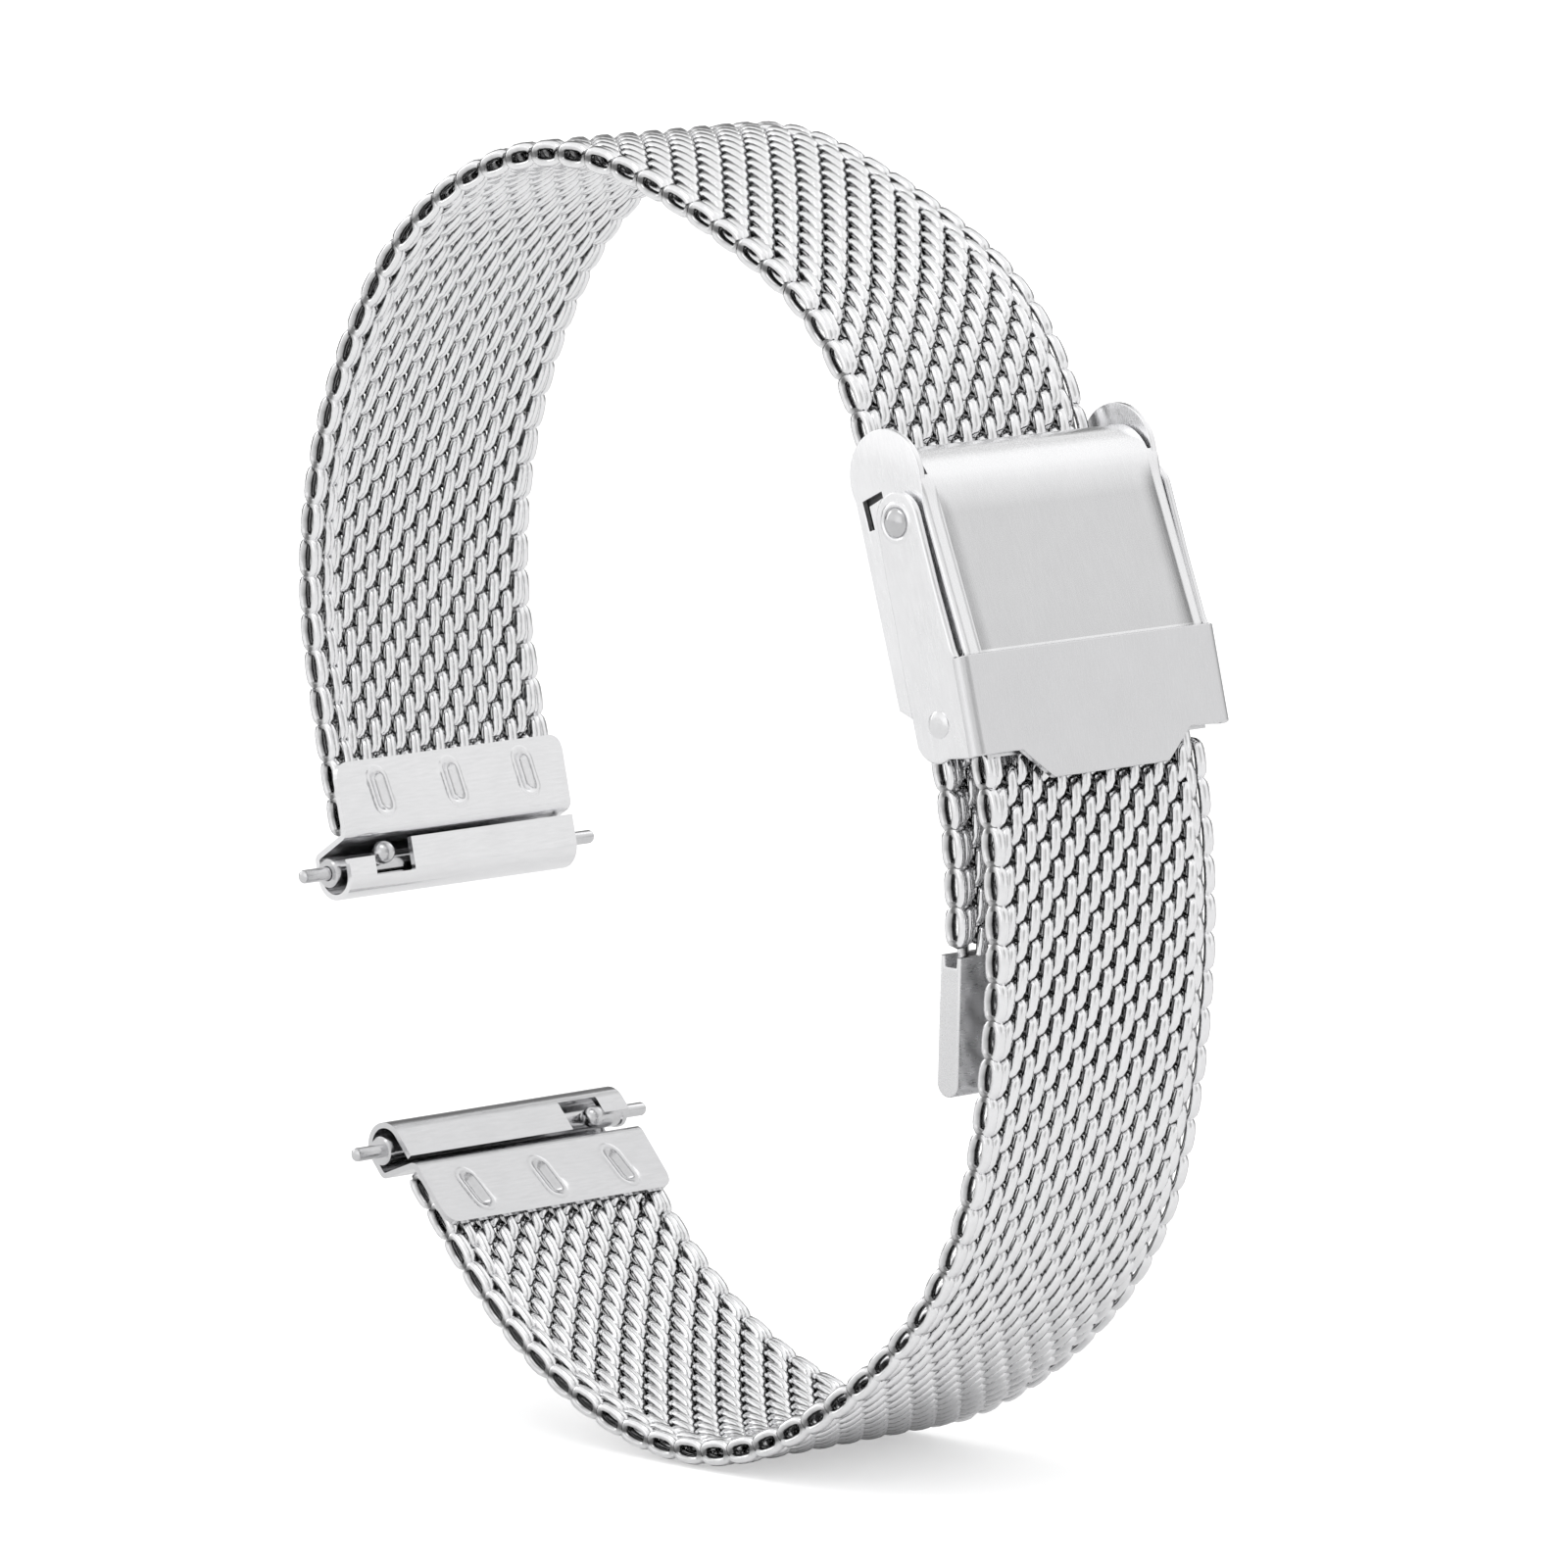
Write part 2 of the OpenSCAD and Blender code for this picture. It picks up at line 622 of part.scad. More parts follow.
module flap() {
  color("LightGray")
    at_clasp()
      difference() {
        union() {
          profile(flap_width, [[flap_out, -flap_start], [flap_end_out, -flap_end],
            [flap_end_out - flap_sheet, -flap_end], [flap_out - flap_sheet, -flap_start]]);
          both_sides()
            translate([0, flap_width / 2 - flap_sheet / 2, 0]) cheek();
          finger_tab();
        }
        translate([pivot_out, 0, -pivot_down]) rod(pivot_d / 2 + pin_gap, 30);
        translate([bar_out, 0, -bar_down]) rod(bar_d / 2 - shoulder, 30);
      }
}
module cheek() {
  profile(flap_sheet, concat(arc([pivot_out, -pivot_down], cheek_r, 180, 0, 16),
    [[4.5, -flap_start + 0.35], [4.62, -flap_start], [flap_out, -flap_start], [flap_end_out, -flap_end],
     [3.7, -flap_end + 0.12]],
    arc([bar_out - 0.45, -bar_down - 0.3], cheek_low_r, 290, 190, 8)));
}
module finger_tab() {
  slope = (flap_out - flap_end_out) / (flap_end - flap_start);
  low = flap_end_out - slope * tab_height;
  intersection() {
    profile(tab_root + 1, [[flap_end_out + slope * 0.5, -flap_end + 0.5], [low, -flap_end - tab_height],
      [low - flap_sheet, -flap_end - tab_height],
      [flap_end_out + slope * 0.5 - flap_sheet, -flap_end + 0.5]]);
    rotate([90, 0, 90])
      linear_extrude(height = 8)
        polygon([[-tab_root / 2, -flap_end + 0.5], [-tab_root / 2, -flap_end],
          [-tab_end / 2, -flap_end - tab_height], [tab_end / 2, -flap_end - tab_height],
          [tab_root / 2, -flap_end], [tab_root / 2, -flap_end + 0.5]]);
  }
}
module cross_bar() {
  color("Gainsboro")
    at_clasp()
      translate([bar_out, 0, -bar_down]) {
        rod(bar_d / 2, flap_width - 2 * flap_sheet);
        rod(bar_d / 2 - shoulder, flap_width);
        both_sides()
          translate([0, (flap_width + button_h) / 2, 0]) rod(bar_d / 2 + button_past, button_h);
      }
}
module strap_hook() {
  eye_in = bar_d / 2 + pin_gap;
  eye_out = eye_in + eye_sheet;
  c = clasp_xz(bar_out, bar_down);
  dx = c[0] - short_0[0];
  dz = c[1] - short_0[1];
  cs = dx * cos(short_heading) + dz * sin(short_heading);
  ct = -dx * sin(short_heading) + dz * cos(short_heading);
  jaw = grip_t + 0.01;
  back = -jaw_grip - 0.06;
  color("Silver")
    at_frame(short_0)
      difference() {
        union() {
          translate([cs, 0, ct]) rod(eye_out, mesh_width);
          profile(mesh_width, [[cs, ct + eye_out], [back - 0.3, jaw - 0.1], [back, jaw], [back, ct + 0.1],
            [cs, ct + 0.1]]);
          profile(mesh_width, [[back - 0.3, jaw - 0.1], [back - 0.1, jaw + jaw_sheet], [0, jaw + jaw_sheet],
            [0, jaw], [back, jaw], [back, -jaw], [0, -jaw], [0, -jaw - jaw_sheet],
            [back - 0.3, -jaw - jaw_sheet]]);
        }
        translate([cs, 0, ct]) rod(eye_in, 30);
        translate([cs, 0, ct])
          profile(30, [[0, 0], [0.3, -0.62], [0.3, -3], [-0.62, -3], [-0.5, -0.3]]);
      }
}

end_link_long();
bar_tube_long();
bar_tip_long();
bar_plunger_long();
mesh_long_1();
mesh_long_2();
mesh_long_3();
mesh_long_4();
mesh_long_5();
mesh_long_6();
mesh_long_7();
mesh_clasp();
mesh_tail();
tail_cap();
clasp_box();
lock_plate();
pivot_pins();
flap();
cross_bar();
strap_hook();
mesh_short_1();
mesh_short_2();
mesh_short_3();
mesh_short_4();
mesh_short_5();
mesh_short_6();
mesh_short_7();
end_link_short();
bar_tube_short();
bar_tip_short();
bar_plunger_short();
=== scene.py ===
import math

import bmesh
import bpy
from mathutils import Matrix, Vector


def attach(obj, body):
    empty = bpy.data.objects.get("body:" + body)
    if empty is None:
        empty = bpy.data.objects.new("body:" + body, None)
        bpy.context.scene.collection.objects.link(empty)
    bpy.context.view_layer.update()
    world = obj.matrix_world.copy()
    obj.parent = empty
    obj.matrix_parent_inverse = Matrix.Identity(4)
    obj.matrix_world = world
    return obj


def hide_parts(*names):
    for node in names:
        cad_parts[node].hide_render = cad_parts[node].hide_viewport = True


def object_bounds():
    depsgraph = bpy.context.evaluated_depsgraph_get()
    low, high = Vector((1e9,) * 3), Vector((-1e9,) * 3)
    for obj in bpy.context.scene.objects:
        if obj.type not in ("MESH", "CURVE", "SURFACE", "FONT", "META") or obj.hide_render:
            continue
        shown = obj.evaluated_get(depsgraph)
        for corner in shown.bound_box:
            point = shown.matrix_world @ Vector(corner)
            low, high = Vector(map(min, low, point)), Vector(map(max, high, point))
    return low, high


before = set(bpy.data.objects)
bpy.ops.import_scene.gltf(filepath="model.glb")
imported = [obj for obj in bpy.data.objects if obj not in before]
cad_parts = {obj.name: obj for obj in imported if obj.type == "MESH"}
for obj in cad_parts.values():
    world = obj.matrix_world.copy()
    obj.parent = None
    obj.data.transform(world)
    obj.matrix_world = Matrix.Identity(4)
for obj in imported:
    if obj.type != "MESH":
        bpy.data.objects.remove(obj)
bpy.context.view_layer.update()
mm = 0.001

# values that a user may change, in mm and degrees
camera = {"right": 27.24, "up": 6.92, "azimuth": 45.0, "elevation": 8.05, "widthSeen": 87.43,
          "lens": 300.0, "clipEnd": 10}
weave = {"width": 17.0, "thick": 1.56, "wire": 0.56, "spread": 1.32, "pitch": 1.06, "turns": 8,
         "steps": 16, "sides": 6, "reach": 0.96, "squareness": 0.7, "lean": 0.35, "edgeRing": 0.95,
         "open": 0.48, "deepen": 1.15, "shade": 0.2, "plateRows": 4}
longStrap = {"heading": 103.0, "offset": 2.62, "step": 0.33, "rows": [9, 11, 11, 11, 11, 11, 11],
             "turns": [-3, -25, -20, -35, -37, -12, -42], "claspRows": 16, "runRows": 2, "runTurn": -7,
             "tailRows": 9, "tailTurn": -14}
shortStrap = {"heading": -77.0, "out": 2.95, "down": 18.6, "rows": [11, 11, 11, 11, 11, 11, 9],
              "turns": [-15, -12, -32, -20, -38, -25, -9]}
tailCap = {"length": 7.8, "width": 17.3, "thick": 1.54, "edge": 0.12, "mouthDeep": 0.6, "mouthHalf": 0.42,
           "sheet": 0.3}
endLink = {"width": 17.8, "sheet": 0.35, "curl": 1.42, "drop": 0.2, "plateLow": 1.8, "plateLen": 4.3,
           "freeEdge": 1.4, "windowY": -6.9, "windowWidth": 3.0, "windowLow": -0.45, "tabTop": 0.62,
           "corner": 0.9, "gap": 0.02, "edge": 0.06, "gridRows": 44, "gridStep": 0.4, "cornerStep": 0.1,
           "markSpacing": 5.7, "markUp": 0.56, "markHalf": 0.72, "markReach": 0.52, "markDepth": 0.3,
           "markLean": -0.2, "markRim": 0.06, "markRimOut": 1.5, "markStep": 0.08}
springBar = {"barrel": 0.75, "length": 18.9, "collar": 0.08, "collarLong": 0.5, "tip": 0.39, "tipEnd": 11.4,
             "tipStart": 8.5, "knobY": -6.05, "knob": 0.65, "knobGap": 0.06, "knobLean": 30.0}
claspBox = {"width": 18.6, "sheet": 0.4, "edge": 0.06, "crest": 2.2, "crestLong": 2.7, "plateShadeFrom": 3.2,
            "plateShadeFade": 2.8, "crestDrop": 1.1, "lip": 0.7, "top": 4.5, "low": 4.98, "plateEnd": 13.115,
            "endRim": 0.16, "wallIn": -1.25, "length": 15.4, "ear": 2.7, "earOut": 1.8, "earDown": 2.5,
            "rim": 1.0, "rimDrop": 0.12, "blendFrom": 2.95, "blendLength": 2.2, "slotDown": 3.3,
            "slotLength": 1.65, "slotIn": -0.28, "slotOut": 1.3, "slotWide": 0.42}
boxInside = {"lipGap": 1.8, "guideGap": 0.9, "slotShadeSheet": 0.08, "slotShadeIn": 0.26}
lockPlate = {"down": 3.6, "gap": 0.07, "sheet": 0.4, "room": 0.3, "lug": 0.16, "lugLong": 1.9, "edge": 0.07}
flapValues = {"width": 20.1, "sheet": 0.45, "corner": 0.7, "start": 13.12, "end": 18.6, "out": 5.1,
              "endOut": 4.62, "tabRoot": 13.2, "tabEnd": 9.0, "tabHeight": 1.7, "pivotDown": 5.1,
              "pivotOut": 2.6, "pivotRound": 1.6, "cheekEdge": 0.18, "frontEdge": 0.11, "barDown": 16.3,
              "barOut": 2.2, "bar": 1.2}
strapHook = {"eye": 0.66, "ring": 1.03, "jaw": 0.69, "grip": 0.25, "foot": -0.91, "back": -1.2, "edge": 0.06}
mergeDistance = 0.0005


# shape helpers
def stepFrame(place, length, turn):
    x, z, heading = place
    if abs(turn) < 0.001:
        run = length
    else:
        run = length * math.sin(math.radians(turn / 2)) / math.radians(turn / 2)
    way = math.radians(heading + turn / 2)
    return (x + run * math.cos(way), z + run * math.sin(way), heading + turn)


def inFrame(place, along, out):
    way = math.radians(place[2])
    return (place[0] + along * math.cos(way) - out * math.sin(way),
            place[1] + along * math.sin(way) + out * math.cos(way))


def frameMatrix(place):
    # local x runs along the strap, y across it and z outward
    return Matrix.Translation((place[0], 0, place[1])) @ Matrix.Rotation(math.radians(-place[2]), 4, "Y")


def arcPoints(centre, radius, start, end, count):
    spread = [math.radians(start + (end - start) * i / count) for i in range(count + 1)]
    return [(centre[0] + radius * math.cos(a), centre[1] + radius * math.sin(a)) for a in spread]


def roundedPath(corners, radii, count=6):
    # a path through the corners with each inner corner rounded
    points = [Vector(corners[0])]
    for before, corner, after, radius in zip(corners, corners[1:], corners[2:], radii):
        a = (Vector(before) - Vector(corner)).normalized()
        b = (Vector(after) - Vector(corner)).normalized()
        half = a.angle(b) / 2
        reach = radius / math.tan(half)
        centre = Vector(corner) + (a + b).normalized() * (radius / math.sin(half))
        first = Vector(corner) + a * reach - centre
        last = Vector(corner) + b * reach - centre
        sweep = first.angle_signed(last)
        for i in range(count + 1):
            turned = first.copy()
            turned.rotate(Matrix.Rotation(-sweep * i / count, 2))
            points.append(centre + turned)
    points.append(Vector(corners[-1]))
    return points


def meshFrom(bm, name):
    mesh = bpy.data.meshes.new(name)
    bm.to_mesh(mesh)
    bm.free()
    return mesh


def cleanShell(bm, outward=False):
    # drops loose points and turns the faces one way, outward to +x where asked
    bmesh.ops.delete(bm, geom=[v for v in bm.verts if not v.link_faces], context="VERTS")
    bmesh.ops.recalc_face_normals(bm, faces=bm.faces)
    if outward and sum(face.normal.x for face in bm.faces) < 0:
        bmesh.ops.reverse_faces(bm, faces=bm.faces)


def finish(name, bm, material, body, nodes=(), place=None, smooth=35.0):
    # turns a bmesh in local mm into a riding piece, keeping its local position for the grain
    grain = bm.verts.layers.float_vector.get("grainPos")
    if grain is None:
        grain = bm.verts.layers.float_vector.new("grainPos")
        for v in bm.verts:
            v[grain] = v.co
    matrix = Matrix.Scale(mm, 4) @ (place if place is not None else Matrix.Identity(4))
    bmesh.ops.transform(bm, matrix=matrix, verts=bm.verts)
    mesh = meshFrom(bm, name)
    for face in mesh.polygons:
        face.use_smooth = True
    mesh.set_sharp_from_angle(angle=math.radians(smooth))
    mesh.materials.append(material)
    piece = bpy.data.objects.new(name, mesh)
    bpy.context.collection.objects.link(piece)
    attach(piece, body)
    if nodes:
        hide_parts(*nodes)
    return piece


def addSolidify(piece, thickness, offset=-1.0):
    mod = piece.modifiers.new("sheet", "SOLIDIFY")
    mod.thickness = thickness * mm
    mod.offset = offset
    mod.use_even_offset = True


def addBevel(piece, width, angle=50.0):
    mod = piece.modifiers.new("edge", "BEVEL")
    mod.width = width * mm
    mod.segments = 2
    mod.limit_method = "ANGLE"
    mod.angle_limit = math.radians(angle)
    mod.harden_normals = True


def tubeAlong(bm, points, radius, sides):
    # a round wire along the points, its rings turned against the across axis
    across = Vector((0, 1, 0))
    rings = []
    for i, point in enumerate(points):
        ahead = points[min(i + 1, len(points) - 1)] - points[max(i - 1, 0)]
        ahead.normalize()
        side = ahead.cross(across).normalized()
        up = side.cross(ahead).normalized()
        ring = []
        for k in range(sides):
            a = 2 * math.pi * k / sides
            ring.append(bm.verts.new(point + (side * math.cos(a) + up * math.sin(a)) * radius))
        rings.append(ring)
    for one, two in zip(rings, rings[1:]):
        for k in range(sides):
            bm.faces.new((one[k], one[(k + 1) % sides], two[(k + 1) % sides], two[k]))
    bm.faces.new(list(reversed(rings[0])))
    bm.faces.new(rings[-1])
    return rings


def cutPlate(outlines, thickness, edge, resolution=2):
    # a flat plate in local x and y with rounded edges and any holes, as a bmesh
    curve = bpy.data.curves.new("outline", "CURVE")
    curve.dimensions = "2D"
    curve.fill_mode = "BOTH"
    curve.extrude = thickness / 2 - edge
    curve.bevel_depth = edge
    curve.offset = -edge
    curve.bevel_resolution = resolution
    for outline in outlines:
        spline = curve.splines.new("POLY")
        spline.points.add(len(outline) - 1)
        for point, (x, y) in zip(spline.points, outline):
            point.co = (x, y, 0, 1)
        spline.use_cyclic_u = True
    holder = bpy.data.objects.new("outline", curve)
    bpy.context.collection.objects.link(holder)
    bpy.context.view_layer.update()
    mesh = holder.evaluated_get(bpy.context.evaluated_depsgraph_get()).to_mesh()
    bm = bmesh.new()
    bm.from_mesh(mesh)
    bpy.data.objects.remove(holder)
    bpy.data.curves.remove(curve)
    bmesh.ops.remove_doubles(bm, verts=bm.verts, dist=mergeDistance)
    return bm


def joined(*parts):
    # one bmesh of several, each given with the matrix that places it
    bm = bmesh.new()
    for part, place in parts:
        bmesh.ops.transform(part, matrix=place, verts=part.verts)
        mesh = meshFrom(part, "part")
        bm.from_mesh(mesh)
        bpy.data.meshes.remove(mesh)
    return bm


def lathe(profile, sides=32):
    # a turned shape about local z from (radius, height) pairs
    bm = bmesh.new()
    verts = [bm.verts.new((r, 0, z)) for r, z in profile]
    edges = [bm.edges.new(pair) for pair in zip(verts, verts[1:])]
    bmesh.ops.spin(bm, geom=verts + edges, cent=(0, 0, 0), axis=(0, 0, 1), angle=2 * math.pi,
                   steps=sides, use_merge=True)
    bmesh.ops.remove_doubles(bm, verts=bm.verts, dist=mergeDistance)
    bmesh.ops.recalc_face_normals(bm, faces=bm.faces)
    return bm


acrossY = Matrix(((1, 0, 0, 0), (0, 0, -1, 0), (0, 1, 0, 0), (0, 0, 0, 1)))  # plate x, y to local x, z


def moved(x, y, z):
    return Matrix.Translation((x, y, z))


# materials
def newGroup(name, inputs, outputs):
    group = bpy.data.node_groups.new(name, "ShaderNodeTree")
    for title, kind, value in inputs:
        socket = group.interface.new_socket(name=title, in_out="INPUT", socket_type=kind)
        if value is not None:
            socket.default_value = value
    for title, kind in outputs:
        group.interface.new_socket(name=title, in_out="OUTPUT", socket_type=kind)
    return group, group.nodes.new("NodeGroupInput"), group.nodes.new("NodeGroupOutput")


def makeFinishGroup():
    # drawn or brushed steel: long grain, fine pits and broad, faint wear
    group, source, target = newGroup(
        "steelFinish",
        [("Position", "NodeSocketVector", None), ("Grain Scale", "NodeSocketVector", (1.0, 1.0, 1.0)),
         ("Tint", "NodeSocketColor", (0.7, 0.7, 0.71, 1.0)), ("Roughness", "NodeSocketFloat", 0.28),
         ("Grain Depth", "NodeSocketFloat", 0.1), ("Wear", "NodeSocketFloat", 0.1)],
        [("Color", "NodeSocketColor"), ("Roughness", "NodeSocketFloat"), ("Normal", "NodeSocketVector")])
    nodes, links = group.nodes, group.links
    stretch = nodes.new("ShaderNodeVectorMath")
    stretch.operation = "MULTIPLY"
    links.new(source.outputs["Position"], stretch.inputs[0])
    links.new(source.outputs["Grain Scale"], stretch.inputs[1])
    grain = nodes.new("ShaderNodeTexNoise")
    grain.inputs["Scale"].default_value = 1.0
    grain.inputs["Detail"].default_value = 4.0
    grain.inputs["Roughness"].default_value = 0.62
    links.new(stretch.outputs[0], grain.inputs["Vector"])
    broad = nodes.new("ShaderNodeTexNoise")
    broad.inputs["Scale"].default_value = 0.35
    broad.inputs["Detail"].default_value = 3.0
    links.new(source.outputs["Position"], broad.inputs["Vector"])
    pits = nodes.new("ShaderNodeTexNoise")
    pits.inputs["Scale"].default_value = 9.0
    pits.inputs["Detail"].default_value = 2.0
    links.new(source.outputs["Position"], pits.inputs["Vector"])

    def math2(kind, a, b):
        node = nodes.new("ShaderNodeMath")
        node.operation = kind
        for slotIndex, value in enumerate((a, b)):
            if isinstance(value, float):
                node.inputs[slotIndex].default_value = value
            else:
                links.new(value, node.inputs[slotIndex])
        return node.outputs[0]

    grainOff = math2("SUBTRACT", grain.outputs["Fac"], 0.5)
    broadOff = math2("SUBTRACT", broad.outputs["Fac"], 0.5)
    wearPart = math2("MULTIPLY", broadOff, source.outputs["Wear"])
    grainPart = math2("MULTIPLY", grainOff, 0.25)
    rough = math2("ADD", math2("ADD", source.outputs["Roughness"], wearPart), grainPart)
    clamp = nodes.new("ShaderNodeClamp")
    clamp.inputs["Min"].default_value = 0.08
    clamp.inputs["Max"].default_value = 0.8
    links.new(rough, clamp.inputs["Value"])
    links.new(clamp.outputs[0], target.inputs["Roughness"])
    bright = math2("ADD", math2("MULTIPLY", grainOff, 0.16), math2("MULTIPLY", wearPart, -0.8))
    lift = math2("ADD", bright, 1.0)
    tinted = nodes.new("ShaderNodeMix")
    tinted.data_type = "RGBA"
    tinted.blend_type = "MULTIPLY"
    tinted.inputs["Factor"].default_value = 1.0
    links.new(source.outputs["Tint"], tinted.inputs["A"])
    links.new(lift, tinted.inputs["B"])
    links.new(tinted.outputs["Result"], target.inputs["Color"])
    height = math2("ADD", grain.outputs["Fac"], math2("MULTIPLY", pits.outputs["Fac"], 0.35))
    bump = nodes.new("ShaderNodeBump")
    bump.inputs["Distance"].default_value = 0.00002
    links.new(source.outputs["Grain Depth"], bump.inputs["Strength"])
    links.new(height, bump.inputs["Height"])
    links.new(bump.outputs["Normal"], target.inputs["Normal"])
    return group


def makeShadeGroup():
    # painted shade: darkens the colour by the mask, on the wire where it faces into the weave or lies deep
    # in it, and on the box plate over its flat part
    group, source, target = newGroup(
        "weaveShade",
        [("Color", "NodeSocketColor", (0.8, 0.8, 0.8, 1.0)), ("Shade Mask", "NodeSocketFloat", 0.0),
         ("Shade", "NodeSocketFloat", 0.15)],
        [("Color", "NodeSocketColor")])
    nodes, links = group.nodes, group.links
    fade = nodes.new("ShaderNodeMapRange")
    fade.inputs["From Min"].default_value = 0.1
    fade.inputs["From Max"].default_value = 0.75
    fade.inputs["To Min"].default_value = 1.0
    links.new(source.outputs["Shade Mask"], fade.inputs["Value"])
    links.new(source.outputs["Shade"], fade.inputs["To Max"])
    shaded = nodes.new("ShaderNodeMix")
    shaded.data_type = "RGBA"
    shaded.blend_type = "MULTIPLY"
    shaded.inputs["Factor"].default_value = 1.0
    links.new(source.outputs["Color"], shaded.inputs["A"])
    links.new(fade.outputs["Result"], shaded.inputs["B"])
    links.new(shaded.outputs["Result"], target.inputs["Color"])
    return group


finishGroup = makeFinishGroup()
shadeGroup = makeShadeGroup()


def steel(name, tint, roughness, grainScale, grainDepth, wear):
    material = bpy.data.materials.new(name)
    material.use_nodes = True
    nodes, links = material.node_tree.nodes, material.node_tree.links
    shader = nodes["Principled BSDF"]
    shader.inputs["Metallic"].default_value = 1.0
    place = nodes.new("ShaderNodeAttribute")
    place.attribute_name = "grainPos"
    look = nodes.new("ShaderNodeGroup")
    look.node_tree = finishGroup
    look.inputs["Grain Scale"].default_value = grainScale
    look.inputs["Tint"].default_value = (*tint, 1.0)
    look.inputs["Roughness"].default_value = roughness
    look.inputs["Grain Depth"].default_value = grainDepth
    look.inputs["Wear"].default_value = wear
    links.new(place.outputs["Vector"], look.inputs["Position"])
    links.new(look.outputs["Color"], shader.inputs["Base Color"])
    links.new(look.outputs["Roughness"], shader.inputs["Roughness"])
    links.new(look.outputs["Normal"], shader.inputs["Normal"])
    return material


def addPaintedShade(material, shade):
    # puts the painted shade between the finish and the shader
    nodes, links = material.node_tree.nodes, material.node_tree.links
    shader = nodes["Principled BSDF"]
    paintedShade = nodes.new("ShaderNodeAttribute")
    paintedShade.attribute_name = "paintedShade"
    dark = nodes.new("ShaderNodeGroup")
    dark.node_tree = shadeGroup
    dark.inputs["Shade"].default_value = shade
    links.new(paintedShade.outputs["Fac"], dark.inputs["Shade Mask"])
    links.new(shader.inputs["Base Color"].links[0].from_socket, dark.inputs["Color"])
    links.new(dark.outputs["Color"], shader.inputs["Base Color"])


wireSteel = steel("wireSteel", (0.95, 0.95, 0.96), 0.13, (3.0, 3.0, 3.0), 0.2, 0.1)
addPaintedShade(wireSteel, weave["shade"])
boxSteel = steel("boxSteel", (0.97, 0.97, 0.98), 0.26, (14.0, 14.0, 0.7), 0.25, 0.08)
# painted shade: darkens the box plate's flat part against its brighter crest and rims
addPaintedShade(boxSteel, 0.76)
flapSteel = steel("flapSteel", (0.76, 0.76, 0.77), 0.24, (14.0, 14.0, 0.7), 0.25, 0.08)
# painted light: the walls and ears and the flap's cheeks are the same steel as the box plate and flap front,
# only lighter where light falls on them, the walls a touch lighter than the cheeks to set their edges apart
litWallSteel = steel("litWallSteel", (0.96, 0.96, 0.97), 0.24, (9.0, 9.0, 1.2), 0.3, 0.14)
litArmSteel = steel("litArmSteel", (0.92, 0.92, 0.93), 0.24, (9.0, 9.0, 1.2), 0.3, 0.14)
linkSteel = steel("linkSteel", (0.9, 0.9, 0.91), 0.18, (6.0, 0.8, 6.0), 0.12, 0.1)
# painted shade: the lower end link's steel is the same steel as linkSteel, only darker
shadedLinkSteel = steel("shadedLinkSteel", (0.7, 0.7, 0.71), 0.2, (6.0, 0.8, 6.0), 0.12, 0.1)
capSteel = steel("capSteel", (0.79, 0.79, 0.8), 0.28, (9.0, 1.0, 9.0), 0.25, 0.16)
barSteel = steel("barSteel", (0.68, 0.68, 0.69), 0.2, (3.0, 9.0, 3.0), 0.25, 0.12)
pinSteel = steel("pinSteel", (0.62, 0.62, 0.63), 0.12, (6.0, 6.0, 6.0), 0.25, 0.12)
rivetSteel = steel("rivetSteel", (0.86, 0.86, 0.87), 0.16, (4.0, 4.0, 4.0), 1.0, 0.5)
shadeSteel = steel("shadeSteel", (0.09, 0.09, 0.09), 0.45, (6.0, 6.0, 6.0), 0.2, 0.1)
print("materials ready")

# frames along the straps
pitch = weave["pitch"]


def rowPlace(start, rows, turn, row, flatFirst=0, flatLast=0):
    # where a row stands in a turning length that keeps some rows straight at either end
    bent = rows - flatFirst - flatLast
    turned = min(max(row - flatFirst, 0), bent)
    place = stepFrame(start, min(row, flatFirst) * pitch, 0)
    place = stepFrame(place, turned * pitch, turn * turned / bent)
    return stepFrame(place, max(row - flatFirst - bent, 0) * pitch, 0)


upperBar = (0, 0, longStrap["heading"])
start = inFrame(upperBar, longStrap["offset"], -longStrap["step"]) + (longStrap["heading"],)
longFrames = [start]
longFlat = [(weave["plateRows"], 0)] + [(0, 0)] * 6
for rows, turn, flat in zip(longStrap["rows"], longStrap["turns"], longFlat):
    longFrames.append(rowPlace(longFrames[-1], rows, turn, rows, *flat))
claspFrame = longFrames[-1]
runFrame = stepFrame(claspFrame, longStrap["claspRows"] * pitch, 0)
tailFrame = stepFrame(runFrame, longStrap["runRows"] * pitch, longStrap["runTurn"])
capFrame = stepFrame(tailFrame, longStrap["tailRows"] * pitch, longStrap["tailTurn"])
hookFrame = inFrame(claspFrame, shortStrap["down"], shortStrap["out"]) + (shortStrap["heading"],)
shortFrames = [hookFrame]
shortFlat = [(0, 0)] * 6 + [(0, weave["plateRows"])]
for rows, turn, flat in zip(shortStrap["rows"], shortStrap["turns"], shortFlat):
    shortFrames.append(rowPlace(shortFrames[-1], rows, turn, rows, *flat))
lowerBar = inFrame(shortFrames[-1], longStrap["offset"], longStrap["step"])
clasp = moved(claspFrame[0], 0, claspFrame[1]) @ Matrix.Rotation(math.radians(-90 - claspFrame[2]), 4, "Y")
upper = Matrix.Rotation(math.radians(90 - longStrap["heading"]), 4, "Y")
lower = (moved(lowerBar[0], 0, lowerBar[1]) @ Matrix.Rotation(math.radians(-90 - shortFrames[-1][2]), 4, "Y")
         @ Matrix.Rotation(math.pi, 4, "Z"))


